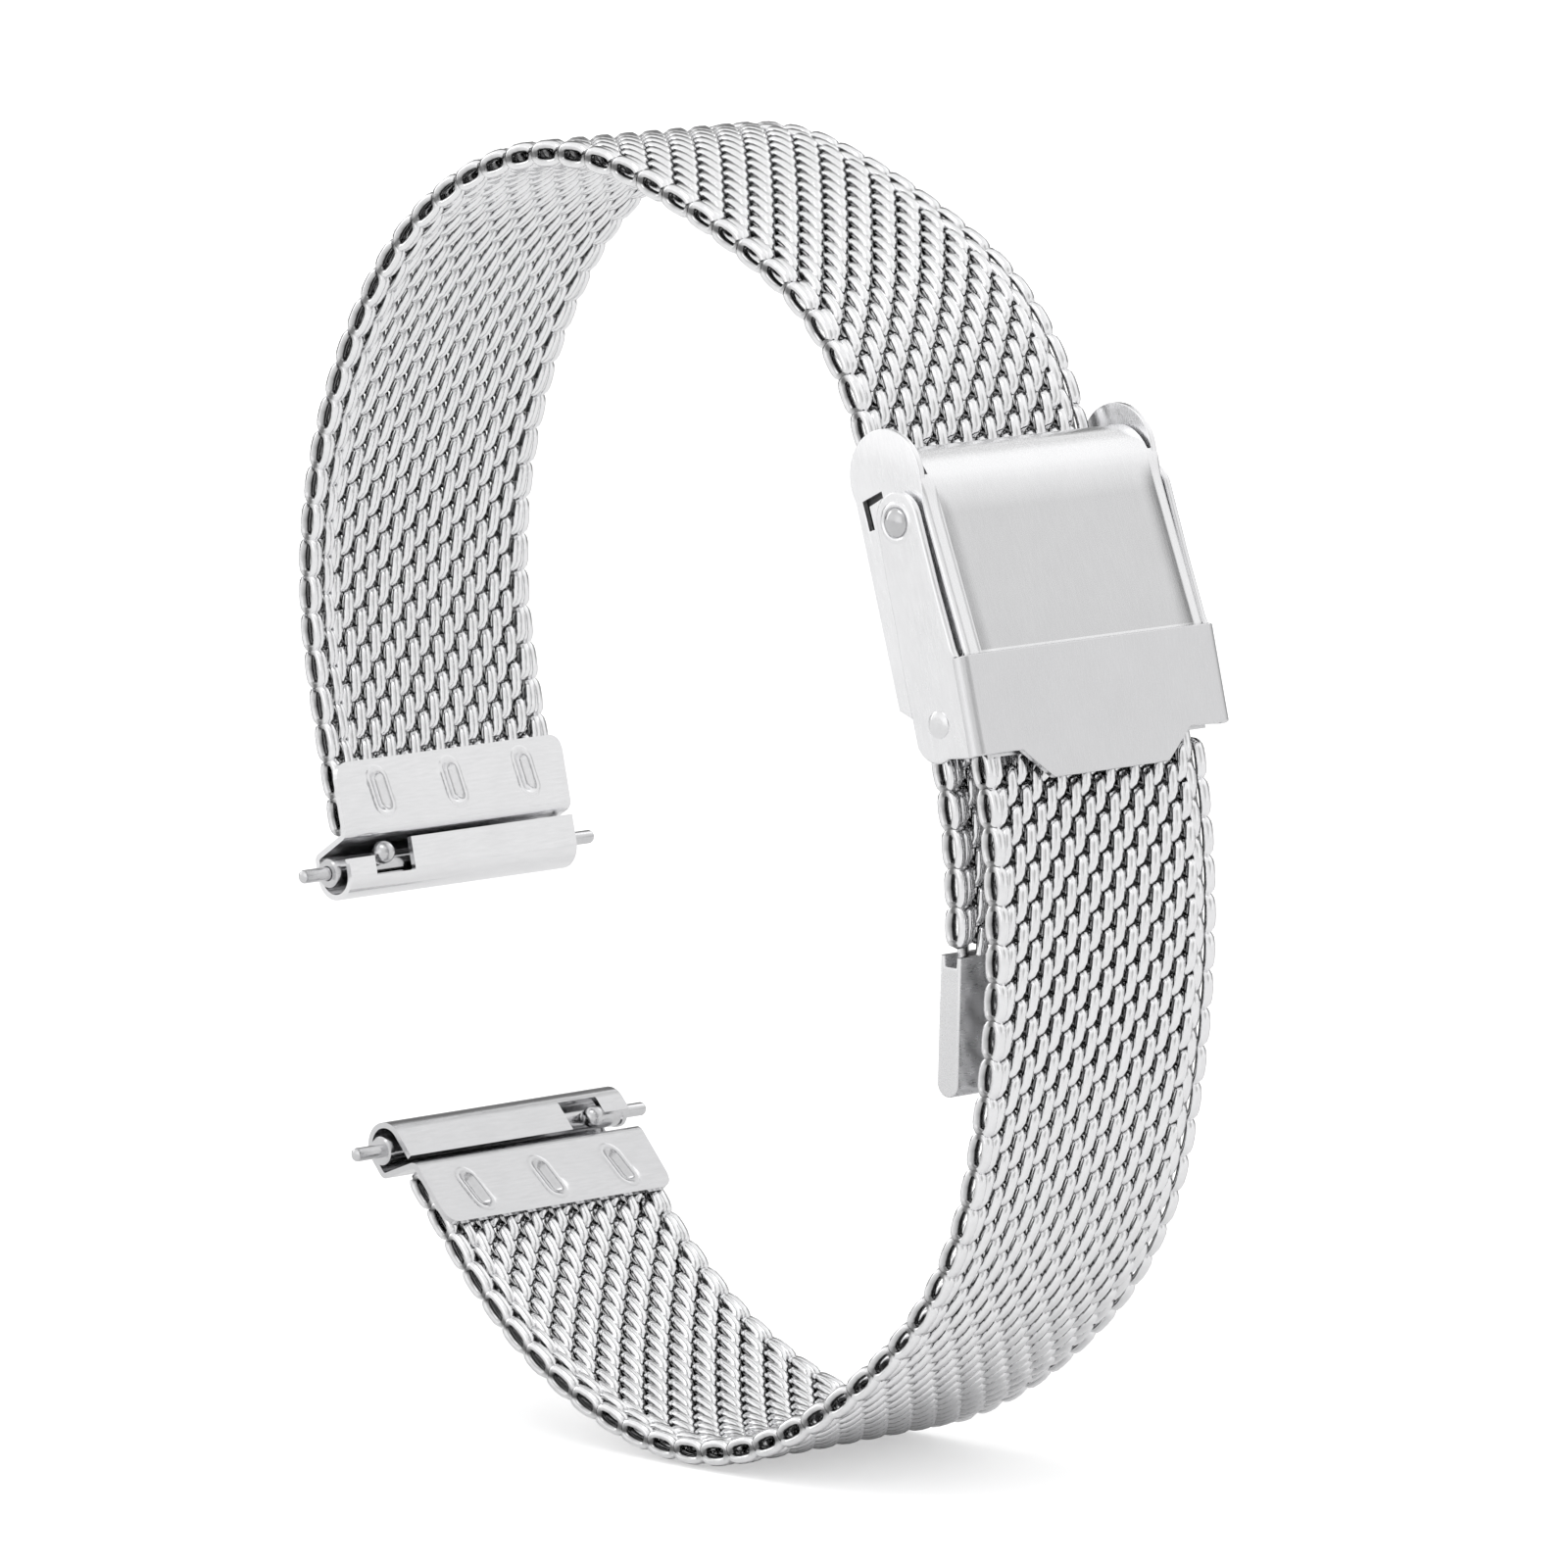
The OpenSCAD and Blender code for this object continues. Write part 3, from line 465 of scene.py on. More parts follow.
# woven mesh
def coilMesh(odd):
    # one coil of wire across the band; the end that meets an edge closes in a flat ring
    wire = weave["wire"]
    tall = weave["reach"]
    deep = (weave["thick"] - wire) / 2
    edge = weave["width"] / 2 - wire * weave["spread"] / 2
    perTurn = 2 * edge / (weave["turns"] + 0.5)
    first = -edge + (perTurn / 2 if odd else 0)
    steps = weave["steps"]
    power = weave["squareness"]
    ring, tuck = int(steps * weave["edgeRing"]), steps // 2
    before, after = (tuck, ring) if odd else (ring, tuck)
    total = weave["turns"] * steps
    points = []
    for i in range(-before, total + after + 1):
        angle = 2 * math.pi * i / steps
        along = min(max(i, 0), total) / steps
        if 0 < i < total:
            along += weave["lean"] * math.sin(2 * angle) / (2 * math.pi)
        c, s = math.cos(angle), math.sin(angle)
        x = tall * math.copysign(abs(c) ** power, c)
        z = deep * math.copysign(abs(s) ** power, s)
        points.append(Vector((x, first + along * perTurn, z)))
    bm = bmesh.new()
    grain = bm.verts.layers.float_vector.new("grainPos")
    paintedShade = bm.verts.layers.float.new("paintedShade")
    for point, circle in zip(points, tubeAlong(bm, points, wire / 2, weave["sides"])):
        outward = Vector((point.x, 0, point.z)).normalized()
        for v in circle:
            v.co.y = point.y + (v.co.y - point.y) * weave["spread"]
            v[grain] = v.co
            # painted shade: the wire is marked darker where it lies deep in the weave and on its side that
            # faces inward
            level = abs(v.co.z) / (weave["thick"] / 2)
            buried = (weave["open"] - level) / weave["open"] * weave["deepen"]
            v[paintedShade] = max(0.0, min(buried, 1.0), -(v.co - point).normalized().dot(outward))
    bmesh.ops.recalc_face_normals(bm, faces=bm.faces)
    return meshFrom(bm, "coil")


coils = [coilMesh(False), coilMesh(True)]


def weaveLength(name, startFrame, rows, turn, index, body, nodes, flat=(0, 0)):
    # the coils of one flexing length, each turned to its place on the arc
    bm = bmesh.new()
    bm.verts.layers.float_vector.new("grainPos")
    bm.verts.layers.float.new("paintedShade")
    for row in range(rows):
        centre = rowPlace(startFrame, rows, turn, row + 0.5, *flat)
        first = len(bm.verts)
        bm.from_mesh(coils[(index + row) % 2])
        bm.verts.ensure_lookup_table()
        added = bm.verts[first:]
        bmesh.ops.transform(bm, matrix=frameMatrix(centre), verts=added)
        grain = bm.verts.layers.float_vector["grainPos"]
        for v in added:
            v[grain] = v[grain] + Vector(((index + row) * pitch, 0, 0))
    return finish(name, bm, wireSteel, body, nodes, smooth=80.0)


rowIndex = 0
for number, (rows, turn) in enumerate(zip(longStrap["rows"], longStrap["turns"]), start=1):
    body = "upper_link" if number == 1 else "long_%d" % number
    weaveLength("weave_long_%d" % number, longFrames[number - 1], rows, turn, rowIndex, body,
                ["mesh_long_%d" % number], longFlat[number - 1])
    rowIndex += rows
weaveLength("weave_clasp", claspFrame, longStrap["claspRows"], 0, rowIndex, "clasp_mesh", ["mesh_clasp"])
rowIndex += longStrap["claspRows"]
weaveLength("weave_run", runFrame, longStrap["runRows"], longStrap["runTurn"], rowIndex, "clasp_mesh", [])
rowIndex += longStrap["runRows"]
weaveLength("weave_tail", tailFrame, longStrap["tailRows"], longStrap["tailTurn"], rowIndex, "tail",
            ["mesh_tail"])
rowIndex = 0
for number, (rows, turn) in enumerate(zip(shortStrap["rows"], shortStrap["turns"]), start=1):
    body = {1: "hook", 7: "lower_link"}.get(number, "short_%d" % number)
    weaveLength("weave_short_%d" % number, shortFrames[number - 1], rows, turn, rowIndex, body,
                ["mesh_short_%d" % number], shortFlat[number - 1])
    rowIndex += rows
print("mesh woven")


# end links and spring bars
def markDent(y, up):
    # depth of the nearest weld mark: a leaning groove with a low raised rim
    v = endLink
    deepest = 0.0
    for number in (-1, 0, 1):
        across = y - number * v["markSpacing"] - up * v["markLean"]
        past = max(abs(up) - v["markHalf"], 0)
        near = math.hypot(across, past) / v["markReach"]
        if near < 1:
            deepest = v["markDepth"] * math.cos(near * math.pi / 2)
        elif near < v["markRimOut"]:
            deepest = -v["markRim"] * math.sin((near - 1) * 2 * math.pi)
    return deepest


def linkSheet():
    # the bent sheet of an end link as a fine grid with its window, tab and weld marks
    v = endLink
    half = v["width"] / 2
    mid = v["curl"] - v["sheet"] / 2
    plateX = longStrap["step"] + weave["thick"] / 2 + v["gap"] + v["sheet"] / 2
    top = v["plateLow"] + v["plateLen"]
    bend = roundedPath([(plateX, top), (plateX, 1.95), (-mid, 0.98), (-mid, -v["drop"])], [0.42, 0.34], 8)
    plateRows = v["gridRows"]
    path = [(plateX, top + (bend[1].y - top) * i / plateRows) for i in range(plateRows + 1)]
    path += [(p.x, p.y) for p in bend[2:]]
    lowArc = math.degrees(math.asin((v["windowLow"] + v["drop"]) / mid))
    path += arcPoints((0, -v["drop"]), mid, 180, 360 + lowArc, 22)[1:]
    path += arcPoints((0, -v["drop"]), mid, lowArc, 0, 2)[1:]
    path += [(mid, z) for z in (0.1, 0.35, v["tabTop"], 0.9, 1.15, v["freeEdge"])]
    windowEnd = v["windowY"] + v["windowWidth"]
    columns = {-half, v["windowY"], windowEnd, half}
    columns |= {round(-half + v["gridStep"] * i, 3) for i in range(1, int(v["width"] / v["gridStep"]))}
    columns |= {round(sign * (half - v["cornerStep"] * i), 3) for i in range(1, 10) for sign in (-1, 1)}
    columns |= {round(number * v["markSpacing"] + v["markStep"] * i, 3)
                for number in (-1, 0, 1) for i in range(-11, 12)}
    columns = sorted(columns)
    columns = [y for y, after in zip(columns, columns[1:] + [99]) if after - y > 0.03]
    markZ = v["plateLow"] + v["plateLen"] * v["markUp"]
    bendTop = path[plateRows][1]
    bm = bmesh.new()
    grid = []
    for k, (x, z) in enumerate(path):
        line = []
        for y in columns:
            zz = z
            inset = abs(y) - (half - v["corner"])
            if k < plateRows and inset > 0:
                roundTop = top - (v["corner"] - math.sqrt(max(v["corner"] ** 2 - inset ** 2, 0)))
                zz = bendTop + (roundTop - bendTop) * (z - bendTop) / (top - bendTop)
            dent = markDent(y, zz - markZ) if k <= plateRows else 0.0
            line.append(bm.verts.new((x - dent, y, zz)))
        grid.append(line)
    for k in range(len(path) - 1):
        front = k > plateRows + 14 and path[k][0] > 0.5
        zMid = (path[k][1] + path[k + 1][1]) / 2
        for c in range(len(columns) - 1):
            yMid = (columns[c] + columns[c + 1]) / 2
            inWindow = front and v["windowY"] < yMid < windowEnd and zMid > v["windowLow"]
            overTab = front and yMid < v["windowY"] and zMid > v["tabTop"]
            if not (inWindow or overTab):
                bm.faces.new((grid[k][c], grid[k][c + 1], grid[k + 1][c + 1], grid[k + 1][c]))
    cleanShell(bm)
    return bm


def barrelShape():
    # the bar's tube with a turned collar at either end
    v = springBar
    r, half = v["barrel"], v["length"] / 2
    collar = r + v["collar"]
    ending = [(collar - 0.1, half), (collar, half - 0.1), (collar, half - v["collarLong"] + 0.1),
              (r, half - v["collarLong"])]
    profile = [(v["tip"] + 0.05, -half)] + [(x, -z) for x, z in ending] + ending[::-1] + [(0.3, half)]
    return lathe(profile, 28)


def tipShape():
    v = springBar
    r, end, inner = v["tip"], v["tipEnd"], v["tipStart"]
    profile = [(0, end), (r - 0.14, end), (r - 0.04, end - 0.06), (r, end - 0.16), (r, inner), (0, inner)]
    return lathe(profile, 24)


def knobShape():
    # a short turned stem and the ball on it
    v = springBar
    r = v["knob"]
    ball = [(0.28, 0.3), (0.28, 0.79), (0.44, 0.81), (0.47, 0.87), (0.44, 0.93), (0.36, 0.95)]
    centre = v["barrel"] + v["knobGap"] + r
    turns = [math.radians(a) for a in range(34, 181, 12)]
    ball += [(r * math.sin(a), centre - r * math.cos(a)) for a in turns]
    ball[-1] = (0, centre + r)
    return lathe(ball, 28)


alongY = Matrix.Rotation(math.radians(-90), 4, "X")  # local z to +Y
againstY = alongY @ Matrix.Rotation(math.pi, 4, "X")  # local z to -Y
knobPlace = (Matrix.Rotation(math.radians(-springBar["knobLean"]), 4, "Y") @ moved(0, springBar["knobY"], 0)
             @ Matrix.Rotation(math.radians(90), 4, "Y"))
for side, sheetSteel, place, end in (("long", linkSteel, upper, "upper"),
                                     ("short", shadedLinkSteel, lower, "lower")):
    link = finish("link_" + side, linkSheet(), sheetSteel, end + "_link",
                  ["end_link_" + side], place, smooth=75.0)
    addSolidify(link, endLink["sheet"] - 0.02, 0.0)
    addBevel(link, endLink["edge"])
    finish("barrel_" + side, joined((barrelShape(), alongY)), barSteel, end + "_link",
           ["bar_tube_" + side], place)
    finish("tip_" + side, joined((tipShape(), alongY)), barSteel, end + "_link",
           ["bar_tip_" + side], place)
    finish("knob_" + side, joined((tipShape(), againstY), (knobShape(), knobPlace)), barSteel,
           end + "_plunger", ["bar_plunger_" + side], place)
print("end links bent")

# tail cap
capHalf, mouthDeep, mouthHalf = tailCap["thick"] / 2, tailCap["mouthDeep"], tailCap["mouthHalf"]
capProfile = [(0, capHalf), (0, capHalf - tailCap["sheet"]), (mouthDeep, mouthHalf), (mouthDeep, -mouthHalf),
              (0, -capHalf + tailCap["sheet"]), (0, -capHalf)]
capProfile += arcPoints((tailCap["length"] - capHalf, 0), capHalf, -90, 90, 12)
capPlate = cutPlate([capProfile], tailCap["width"], tailCap["edge"])
finish("tailCap", joined((capPlate, acrossY)), capSteel, "tail", ["tail_cap"],
       frameMatrix(capFrame))
print("tail capped")


# clasp
def boxPlateOut(u):
    # how far out the plate's face stands at a depth below the box top
    v = claspBox
    base = v["crestDrop"] + v["crestLong"]
    if u < base:
        share = math.sqrt(max(1 - ((base - u) / v["crestLong"]) ** 2, 0))
        return v["top"] - v["crest"] + v["crest"] * share
    return v["top"] + (v["low"] - v["top"]) * (u - base) / (v["plateEnd"] - base)


def rimShare(u):
    # how far the turned rims are down at a depth, from none at the crest to all on the plate
    share = min(max((u - claspBox["blendFrom"]) / claspBox["blendLength"], 0), 1)
    return share * share * (3 - 2 * share)


def boxSheet():
    # outer plate of the box: the crest between the ears, then the plate with its two turned rims
    v = claspBox
    half, rim = v["width"] / 2, v["rim"]
    base, foot = v["crestDrop"] + v["crestLong"], v["top"] - v["crest"]
    rimStart, endOut = v["plateEnd"] - v["endRim"], boxPlateOut(v["plateEnd"])
    stations = [(v["crestDrop"], foot - v["lip"]), (v["crestDrop"], foot - 0.3)]
    arc = [math.radians(a) for a in range(0, 90, 9)]
    stations += [(base - v["crestLong"] * math.cos(a), foot + v["crest"] * math.sin(a)) for a in arc]
    stations += [(u, boxPlateOut(u)) for u in (base, 4.2, 4.7, 5.2, 6, 7, 9, 11, rimStart)]
    stations += [(rimStart + 0.02, endOut - 0.01), (v["plateEnd"], endOut - 0.05)]
    insets = [0.0, 0.05, 0.12, 0.335, 0.6, 0.78, 0.88, 0.95, rim]
    earIn = 3
    flatHalf = half - rim
    ys = [flatHalf * i / 5 for i in range(5)] + [flatHalf + i for i in insets]
    drops = [0.0] * 5 + [v["rimDrop"] * min(i / 0.12, 1) + 4.0 * max(i - 0.75, 0) ** 2 for i in insets]
    side = list(zip(ys, drops))
    cross = [(-y, drop) for y, drop in reversed(side[1:])] + side
    shown = len(insets) - 1 - earIn
    bm = bmesh.new()
    # painted shade on the flat plate, fading in below the crest and left off the turned rims and the end
    # rim, so that the crest and rims stand out as painted highlights
    plateShade = bm.verts.layers.float.new("paintedShade")
    grid = []
    for u, w in stations:
        line = [bm.verts.new((w - drop * rimShare(u), y, -u)) for y, drop in cross]
        for vert, (y, drop) in zip(line, cross):
            rimPart = 1.0 - rimShare(u) * min(max(abs(y) - flatHalf, 0) / 0.05, 1)
            endPart = 1.0 if u <= rimStart else 0.0
            vert[plateShade] = rimPart * endPart * min(max((u - v["plateShadeFrom"]) / v["plateShadeFade"], 0), 1)
        grid.append(line)
    for one, two, (u, w) in zip(grid, grid[1:], stations):
        hidden = shown if u < v["blendFrom"] else 0
        for k in range(hidden, len(one) - 1 - hidden):
            bm.faces.new((one[k], one[k + 1], two[k + 1], two[k]))
    cleanShell(bm, outward=True)
    return bm


def wallOutlines():
    # one side wall of the box with its ear and the slot that shows the lock plate's lug
    v = claspBox
    outline = [(boxPlateOut(u) - 0.38 * rimShare(u) - 0.02, -u) for u in (3.25, 3.7, 4.2, 4.7, 5.2, 9, 12.9)]
    outline += [(4.2, -13.3), (4.2, -14.7), (3.2, -v["length"]), (-0.5, -v["length"]),
                (v["wallIn"], -v["length"] + 0.6)]
    outline += arcPoints((v["earOut"], -v["earDown"]), v["ear"], 196, -10, 28)
    top, low = -v["slotDown"], -v["slotDown"] - v["slotLength"]
    tab = v["slotIn"] + v["slotWide"]
    slot = [(v["slotIn"], top), (v["slotOut"], top + 0.2), (v["slotOut"], top - 0.15), (tab, top - 0.35),
            (tab, low), (v["slotIn"], low)]
    return [outline, slot]


def onBothSides(outlines, thickness, edge, sideY, resolution=2):
    # the same flat plate twice, once on either side of the clasp
    return [(cutPlate(outlines, thickness, edge, resolution), acrossY @ moved(0, 0, sign * sideY))
            for sign in (-1, 1)]


boxEdge = claspBox["edge"]
wallY = claspBox["width"] / 2 - claspBox["sheet"] / 2
walls = joined(*onBothSides(wallOutlines(), claspBox["sheet"], boxEdge, wallY))
finish("boxWalls", walls, litWallSteel, "box", ["clasp_box"], clasp)
plate = finish("boxPlate", boxSheet(), boxSteel, "box", [], clasp, smooth=50.0)
addSolidify(plate, claspBox["sheet"])
addBevel(plate, 0.05)
lip = [(4.4, -13.02), (4.35, -15.0), (3.95, -15.0), (4.0, -13.02)]
guide = [(0.9, -1.5), (1.25, -1.5), (1.25, -12.0), (0.9, -12.0)]
inside = joined((cutPlate([lip], claspBox["width"] - boxInside["lipGap"], boxEdge), acrossY),
                (cutPlate([guide], claspBox["width"] - boxInside["guideGap"], boxEdge), acrossY))
finish("boxInside", inside, boxSteel, "box", [], clasp)
# painted shade: a near-black sheet inside each wall, behind the slot, where there is only shade
slotShadeSheet = [(-0.7, -2.7), (2.2, -2.7), (2.2, -5.6), (-0.7, -5.6)]
slotShade = joined(*onBothSides([slotShadeSheet], boxInside["slotShadeSheet"], 0.02, wallY - boxInside["slotShadeIn"]))
finish("boxSlotShade", slotShade, shadeSteel, "box", [], clasp)

# lock plate under the mesh, with a lug inside each wall
lockFace = -weave["thick"] / 2 - lockPlate["gap"]
lockBack = lockFace - lockPlate["sheet"]
lockTop = -lockPlate["down"] - 0.75
lugLow = lockTop - lockPlate["lugLong"]
lockProfile = [(lockFace, lockTop), (lockFace, -11.6), (lockFace - 0.5, -12.5), (lockFace - 0.85, -12.5),
               (lockBack, -11.4), (lockBack, lockTop)]
lockWidth = claspBox["width"] - 2 * claspBox["sheet"] - lockPlate["room"]
lugProfile = [(lockBack, lugLow), (lockBack, lockTop), (-0.55, -3.25), (0.1, -3.25), (0.15, -3.95),
              (lockFace + 0.2, lugLow)]
lockParts = [(cutPlate([lockProfile], lockWidth, lockPlate["edge"]), acrossY)]
lockParts += onBothSides([lugProfile], lockPlate["lug"], 0.04, lockWidth / 2 - lockPlate["lug"] / 2)
finish("lockPlate", joined(*lockParts), flapSteel, "lock", ["lock_plate"], clasp)


def flapFront():
    # front plate of the flap with its finger tab and the turns into the cheeks
    v = flapValues
    half, r = v["width"] / 2, v["corner"]
    root, end = v["tabRoot"] / 2, v["tabEnd"] / 2
    ys = [end * i / 4 for i in range(5)] + [end + (root - end) * i / 4 for i in range(1, 5)]
    ys += [root + (half - r - root) * i / 3 for i in range(1, 4)]
    slope = (v["out"] - v["endOut"]) / (v["end"] - v["start"])

    def lowEdge(y):
        if y <= end:
            return v["end"] + v["tabHeight"]
        if y <= root:
            return v["end"] + v["tabHeight"] * (root - y) / (root - end)
        return v["end"]

    columns = [(y, 0.0, lowEdge(y)) for y in ys]
    turns = [math.radians(a) for a in range(15, 91, 15)]
    columns += [(half - r + r * math.sin(a), r - r * math.cos(a), v["end"]) for a in turns]
    columns += [(half, r + 0.12, v["end"])]
    full = [(-y, back, low) for y, back, low in reversed(columns[1:])] + columns
    bm = bmesh.new()
    grid = []
    for y, back, low in full:
        line = []
        for i in range(9):
            if i <= 6:
                u = v["start"] + (v["end"] - v["start"]) * i / 6
            else:
                u = v["end"] + (low - v["end"]) * (i - 6) / 2
            line.append(bm.verts.new((v["out"] - slope * (u - v["start"]) - back, y, -u)))
        grid.append(line)
    for one, two in zip(grid, grid[1:]):
        for i in range(8):
            if i >= 6 and one[i].co.z == one[i + 1].co.z and two[i].co.z == two[i + 1].co.z:
                continue
            bm.faces.new((one[i], two[i], two[i + 1], one[i + 1]))
    bmesh.ops.remove_doubles(bm, verts=bm.verts, dist=mergeDistance)
    cleanShell(bm, outward=True)
    return bm


def cheekOutline():
    # one arm of the flap, narrow at the pivot and rounded at the foot
    v = flapValues
    outline = arcPoints((v["pivotOut"] + 0.05, -v["pivotDown"] + 0.1), v["pivotRound"], 175, 0, 24)
    outline += [(4.3, -9.0), (4.45, -v["start"] + 0.5), (4.55, -v["start"] + 0.02),
                (v["out"] - v["corner"], -v["start"]), (v["endOut"] - v["corner"], -v["end"]),
                (3.6, -v["end"] + 0.05)]
    outline += arcPoints((1.7, -16.75), 1.6, 290, 195, 12)
    return outline + [(0.35, -13.4), (0.62, -10.6), (0.78, -8.0)]


front = finish("flapFront", flapFront(), flapSteel, "flap", ["flap"], clasp, smooth=50.0)
addSolidify(front, flapValues["sheet"])
addBevel(front, flapValues["frontEdge"])


def turnedOnBothSides(profile, sides, out, down):
    # the same turned shape on the outer face of either cheek
    halfY = flapValues["width"] / 2
    return [(lathe(profile, sides), moved(out, sign * halfY, -down) @ (alongY if sign > 0 else againstY))
            for sign in (-1, 1)]


pivot = (flapValues["pivotOut"], flapValues["pivotDown"])
halo = [(0.86, -0.02), (0.88, 0.06), (0.98, 0.1), (1.1, 0.07), (1.2, -0.02)]
cheekY = flapValues["width"] / 2 - flapValues["sheet"] / 2
cheekParts = onBothSides([cheekOutline()], flapValues["sheet"], flapValues["cheekEdge"], cheekY, 4)
cheekParts += turnedOnBothSides(halo, 40, *pivot)
finish("flapCheeks", joined(*cheekParts), litArmSteel, "flap", [], clasp)

pinProfile = [(0, 0.36), (0.25, 0.35), (0.47, 0.31), (0.65, 0.24), (0.78, 0.14), (0.84, 0.03), (0.84, -0.01),
              (0.5, -0.01), (0.5, -1.1), (0.62, -1.1), (0.62, -1.3), (0, -1.3)]
barRadius = flapValues["bar"] / 2
barProfile = [(0, 0.18), (0.4, 0.17), (0.6, 0.14), (0.74, 0.06), (0.77, -0.02), (0.55, 0.0), (0.55, -0.45),
              (barRadius, -0.45), (barRadius, -flapValues["width"] / 2)]
finish("pivotPins", joined(*turnedOnBothSides(pinProfile, 36, *pivot)), pinSteel, "box",
       ["pivot_pins"], clasp)
barEnds = turnedOnBothSides(barProfile, 32, flapValues["barOut"], flapValues["barDown"])
finish("crossBar", joined(*barEnds), rivetSteel, "flap", ["cross_bar"], clasp)

# the short strap's hook bracket, in the strap's own frame
barAt = inFrame(claspFrame, flapValues["barDown"], flapValues["barOut"])
dx, dz = barAt[0] - hookFrame[0], barAt[1] - hookFrame[1]
way = math.radians(hookFrame[2])
eye = (dx * math.cos(way) + dz * math.sin(way), -dx * math.sin(way) + dz * math.cos(way))
jaw, outerJaw = strapHook["jaw"], strapHook["jaw"] + strapHook["grip"]
foot, hookBack = strapHook["foot"], strapHook["back"]
webOutline = [(eye[0], eye[1] + strapHook["eye"]), (foot, -0.6), (foot, jaw), (0, jaw), (0, outerJaw),
              (-1.0, outerJaw), (hookBack, jaw - 0.1), (eye[0], eye[1] + strapHook["ring"])]
lowJaw = [(hookBack, -outerJaw), (0, -outerJaw), (0, -jaw), (foot, -jaw), (foot, -0.4), (hookBack, -0.4)]
ring = arcPoints(eye, strapHook["ring"], 90, 300, 24) + arcPoints(eye, strapHook["eye"], 300, 90, 20)
hook = joined(*[(cutPlate([shape], weave["width"], strapHook["edge"]), acrossY)
                for shape in (webOutline, lowJaw, ring)])
finish("strapHook", hook, flapSteel, "hook", ["strap_hook"], frameMatrix(hookFrame))
print("clasp built")

# floor, light and camera
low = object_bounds()[0][2]
bm = bmesh.new()
bmesh.ops.create_grid(bm, x_segments=1, y_segments=1, size=1.2)
bmesh.ops.translate(bm, verts=bm.verts, vec=(0.02, 0, low - 0.0002))
floorMesh = meshFrom(bm, "floor")
floor = bpy.data.objects.new("floor", floorMesh)
bpy.context.collection.objects.link(floor)
paper = bpy.data.materials.new("paper")
paper.use_nodes = True
paperShader = paper.node_tree.nodes["Principled BSDF"]
paperShader.inputs["Base Color"].default_value = (0.93, 0.93, 0.93, 1)
paperShader.inputs["Roughness"].default_value = 0.9
paperShader.inputs["Specular IOR Level"].default_value = 0.1
floorMesh.materials.append(paper)
paperLinks = paper.node_tree.links
paperPath = paper.node_tree.nodes.new("ShaderNodeLightPath")
paperGlow = paper.node_tree.nodes.new("ShaderNodeMath")
paperGlow.operation = "MULTIPLY"
paperGlow.inputs[1].default_value = 0.45
paperLinks.new(paperPath.outputs["Is Camera Ray"], paperGlow.inputs[0])
paperShader.inputs["Emission Color"].default_value = (1, 1, 1, 1)
paperLinks.new(paperGlow.outputs[0], paperShader.inputs["Emission Strength"])


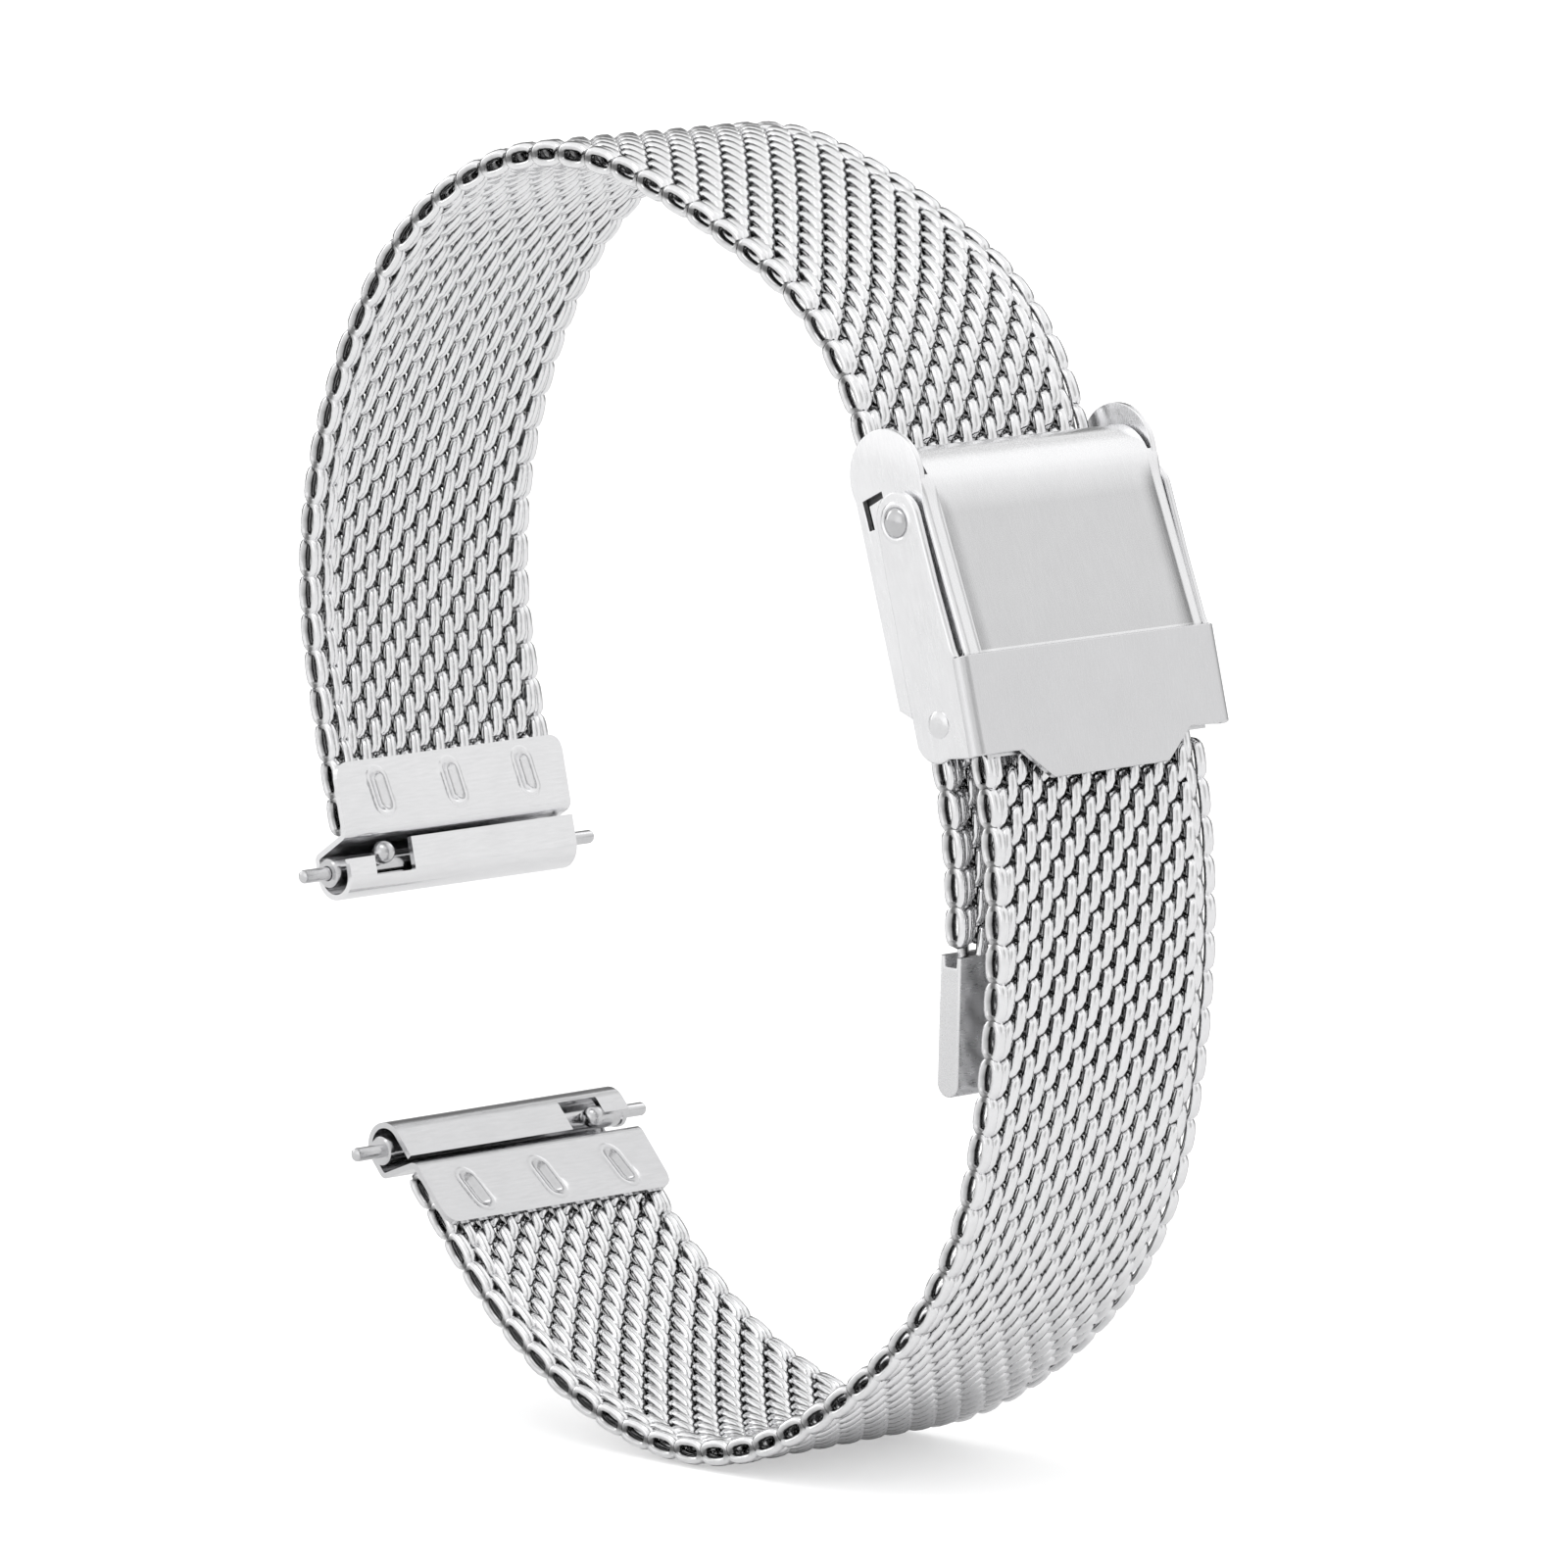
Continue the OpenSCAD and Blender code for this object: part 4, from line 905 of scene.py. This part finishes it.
def worldLight():
    # white to the camera; soft grey panels in every reflection
    world = bpy.data.worlds.new("studio")
    bpy.context.scene.world = world
    world.use_nodes = True
    nodes, links = world.node_tree.nodes, world.node_tree.links
    back = nodes["Background"]
    back.inputs["Color"].default_value = (1, 1, 1, 1)
    coords = nodes.new("ShaderNodeTexCoord")

    def facing(direction, low, high, dark, light):
        dot = nodes.new("ShaderNodeVectorMath")
        dot.operation = "DOT_PRODUCT"
        links.new(coords.outputs["Generated"], dot.inputs[0])
        dot.inputs[1].default_value = Vector(direction).normalized()
        ramp = nodes.new("ShaderNodeMapRange")
        ramp.interpolation_type = "SMOOTHSTEP"
        ramp.inputs["From Min"].default_value = low
        ramp.inputs["From Max"].default_value = high
        ramp.inputs["To Min"].default_value = dark
        ramp.inputs["To Max"].default_value = light
        links.new(dot.outputs["Value"], ramp.inputs["Value"])
        return ramp.outputs["Result"]

    def total(a, b):
        add = nodes.new("ShaderNodeMath")
        add.operation = "ADD"
        links.new(a, add.inputs[0])
        links.new(b, add.inputs[1])
        return add.outputs[0]

    value = facing((0, 0, 1), 0.1, 1.0, 1.0, 0.9)
    # each panel's direction, where it starts and is full, and how much lighter or darker it is
    panels = [((0.64, 0.7, 0.2), 0.88, 0.98, -0.14), ((0.25, 0.7, 0.66), 0.87, 0.97, 0.05),
              ((-0.7, 0.7, -0.1), 0.45, 0.95, -0.6), ((0.7, -0.7, 0.1), 0.7, 1.0, -0.2),
              ((0.93, -0.05, 0.35), 0.88, 0.98, -0.4), ((0.0, -0.98, 0.0), 0.8, 0.97, 0.2),
              ((0.1, 0.98, -0.1), 0.86, 0.98, -0.35), ((0.3, 0.7, -0.65), 0.8, 0.97, -0.3),
              ((-0.97, -0.1, -0.2), 0.84, 0.98, -0.55), ((-0.45, 0.65, 0.6), 0.85, 0.97, -0.25)]
    for direction, low, high, change in panels:
        value = total(value, facing(direction, low, high, 0.0, change))
    path = nodes.new("ShaderNodeLightPath")
    isWhite = nodes.new("ShaderNodeMix")
    isWhite.data_type = "FLOAT"
    isWhite.inputs["B"].default_value = 1.0
    links.new(path.outputs["Is Camera Ray"], isWhite.inputs["Factor"])
    links.new(value, isWhite.inputs["A"])
    links.new(isWhite.outputs["Result"], back.inputs["Strength"])


worldLight()


def softLight(name, place, aim, size, power):
    data = bpy.data.lights.new(name, "AREA")
    data.shape = "RECTANGLE"
    data.size, data.size_y = size
    data.energy = power
    lamp = bpy.data.objects.new(name, data)
    bpy.context.collection.objects.link(lamp)
    lamp.location = place
    lamp.rotation_euler = (Vector(aim) - Vector(place)).to_track_quat("-Z", "Y").to_euler()


target = (0.025, 0, 0.005)
softLight("keyTop", (0.05, -0.25, 0.5), target, (0.3, 0.2), 0.2)
softLight("sideLeft", (-0.45, -0.2, 0.15), target, (0.1, 0.3), 0.1)
softLight("rimBack", (-0.1, 0.5, 0.3), target, (0.3, 0.2), 0.15)

camData = bpy.data.cameras.new("camera")
camData.lens = camera["lens"]
camData.clip_end = camera["clipEnd"]
cam = bpy.data.objects.new("camera", camData)
bpy.context.collection.objects.link(cam)
azimuth, elevation = math.radians(camera["azimuth"]), math.radians(camera["elevation"])
level = math.cos(elevation)
back = Vector((math.sin(azimuth) * level, -math.cos(azimuth) * level, math.sin(elevation)))
distance = camera["widthSeen"] * camera["lens"] / camData.sensor_width
cam.location = (Vector((camera["right"], 0, camera["up"])) + back * distance) * mm
cam.rotation_euler = (-back).to_track_quat("-Z", "Y").to_euler()
bpy.context.scene.camera = cam
bpy.context.scene.view_settings.view_transform = "Standard"
print("stage set")
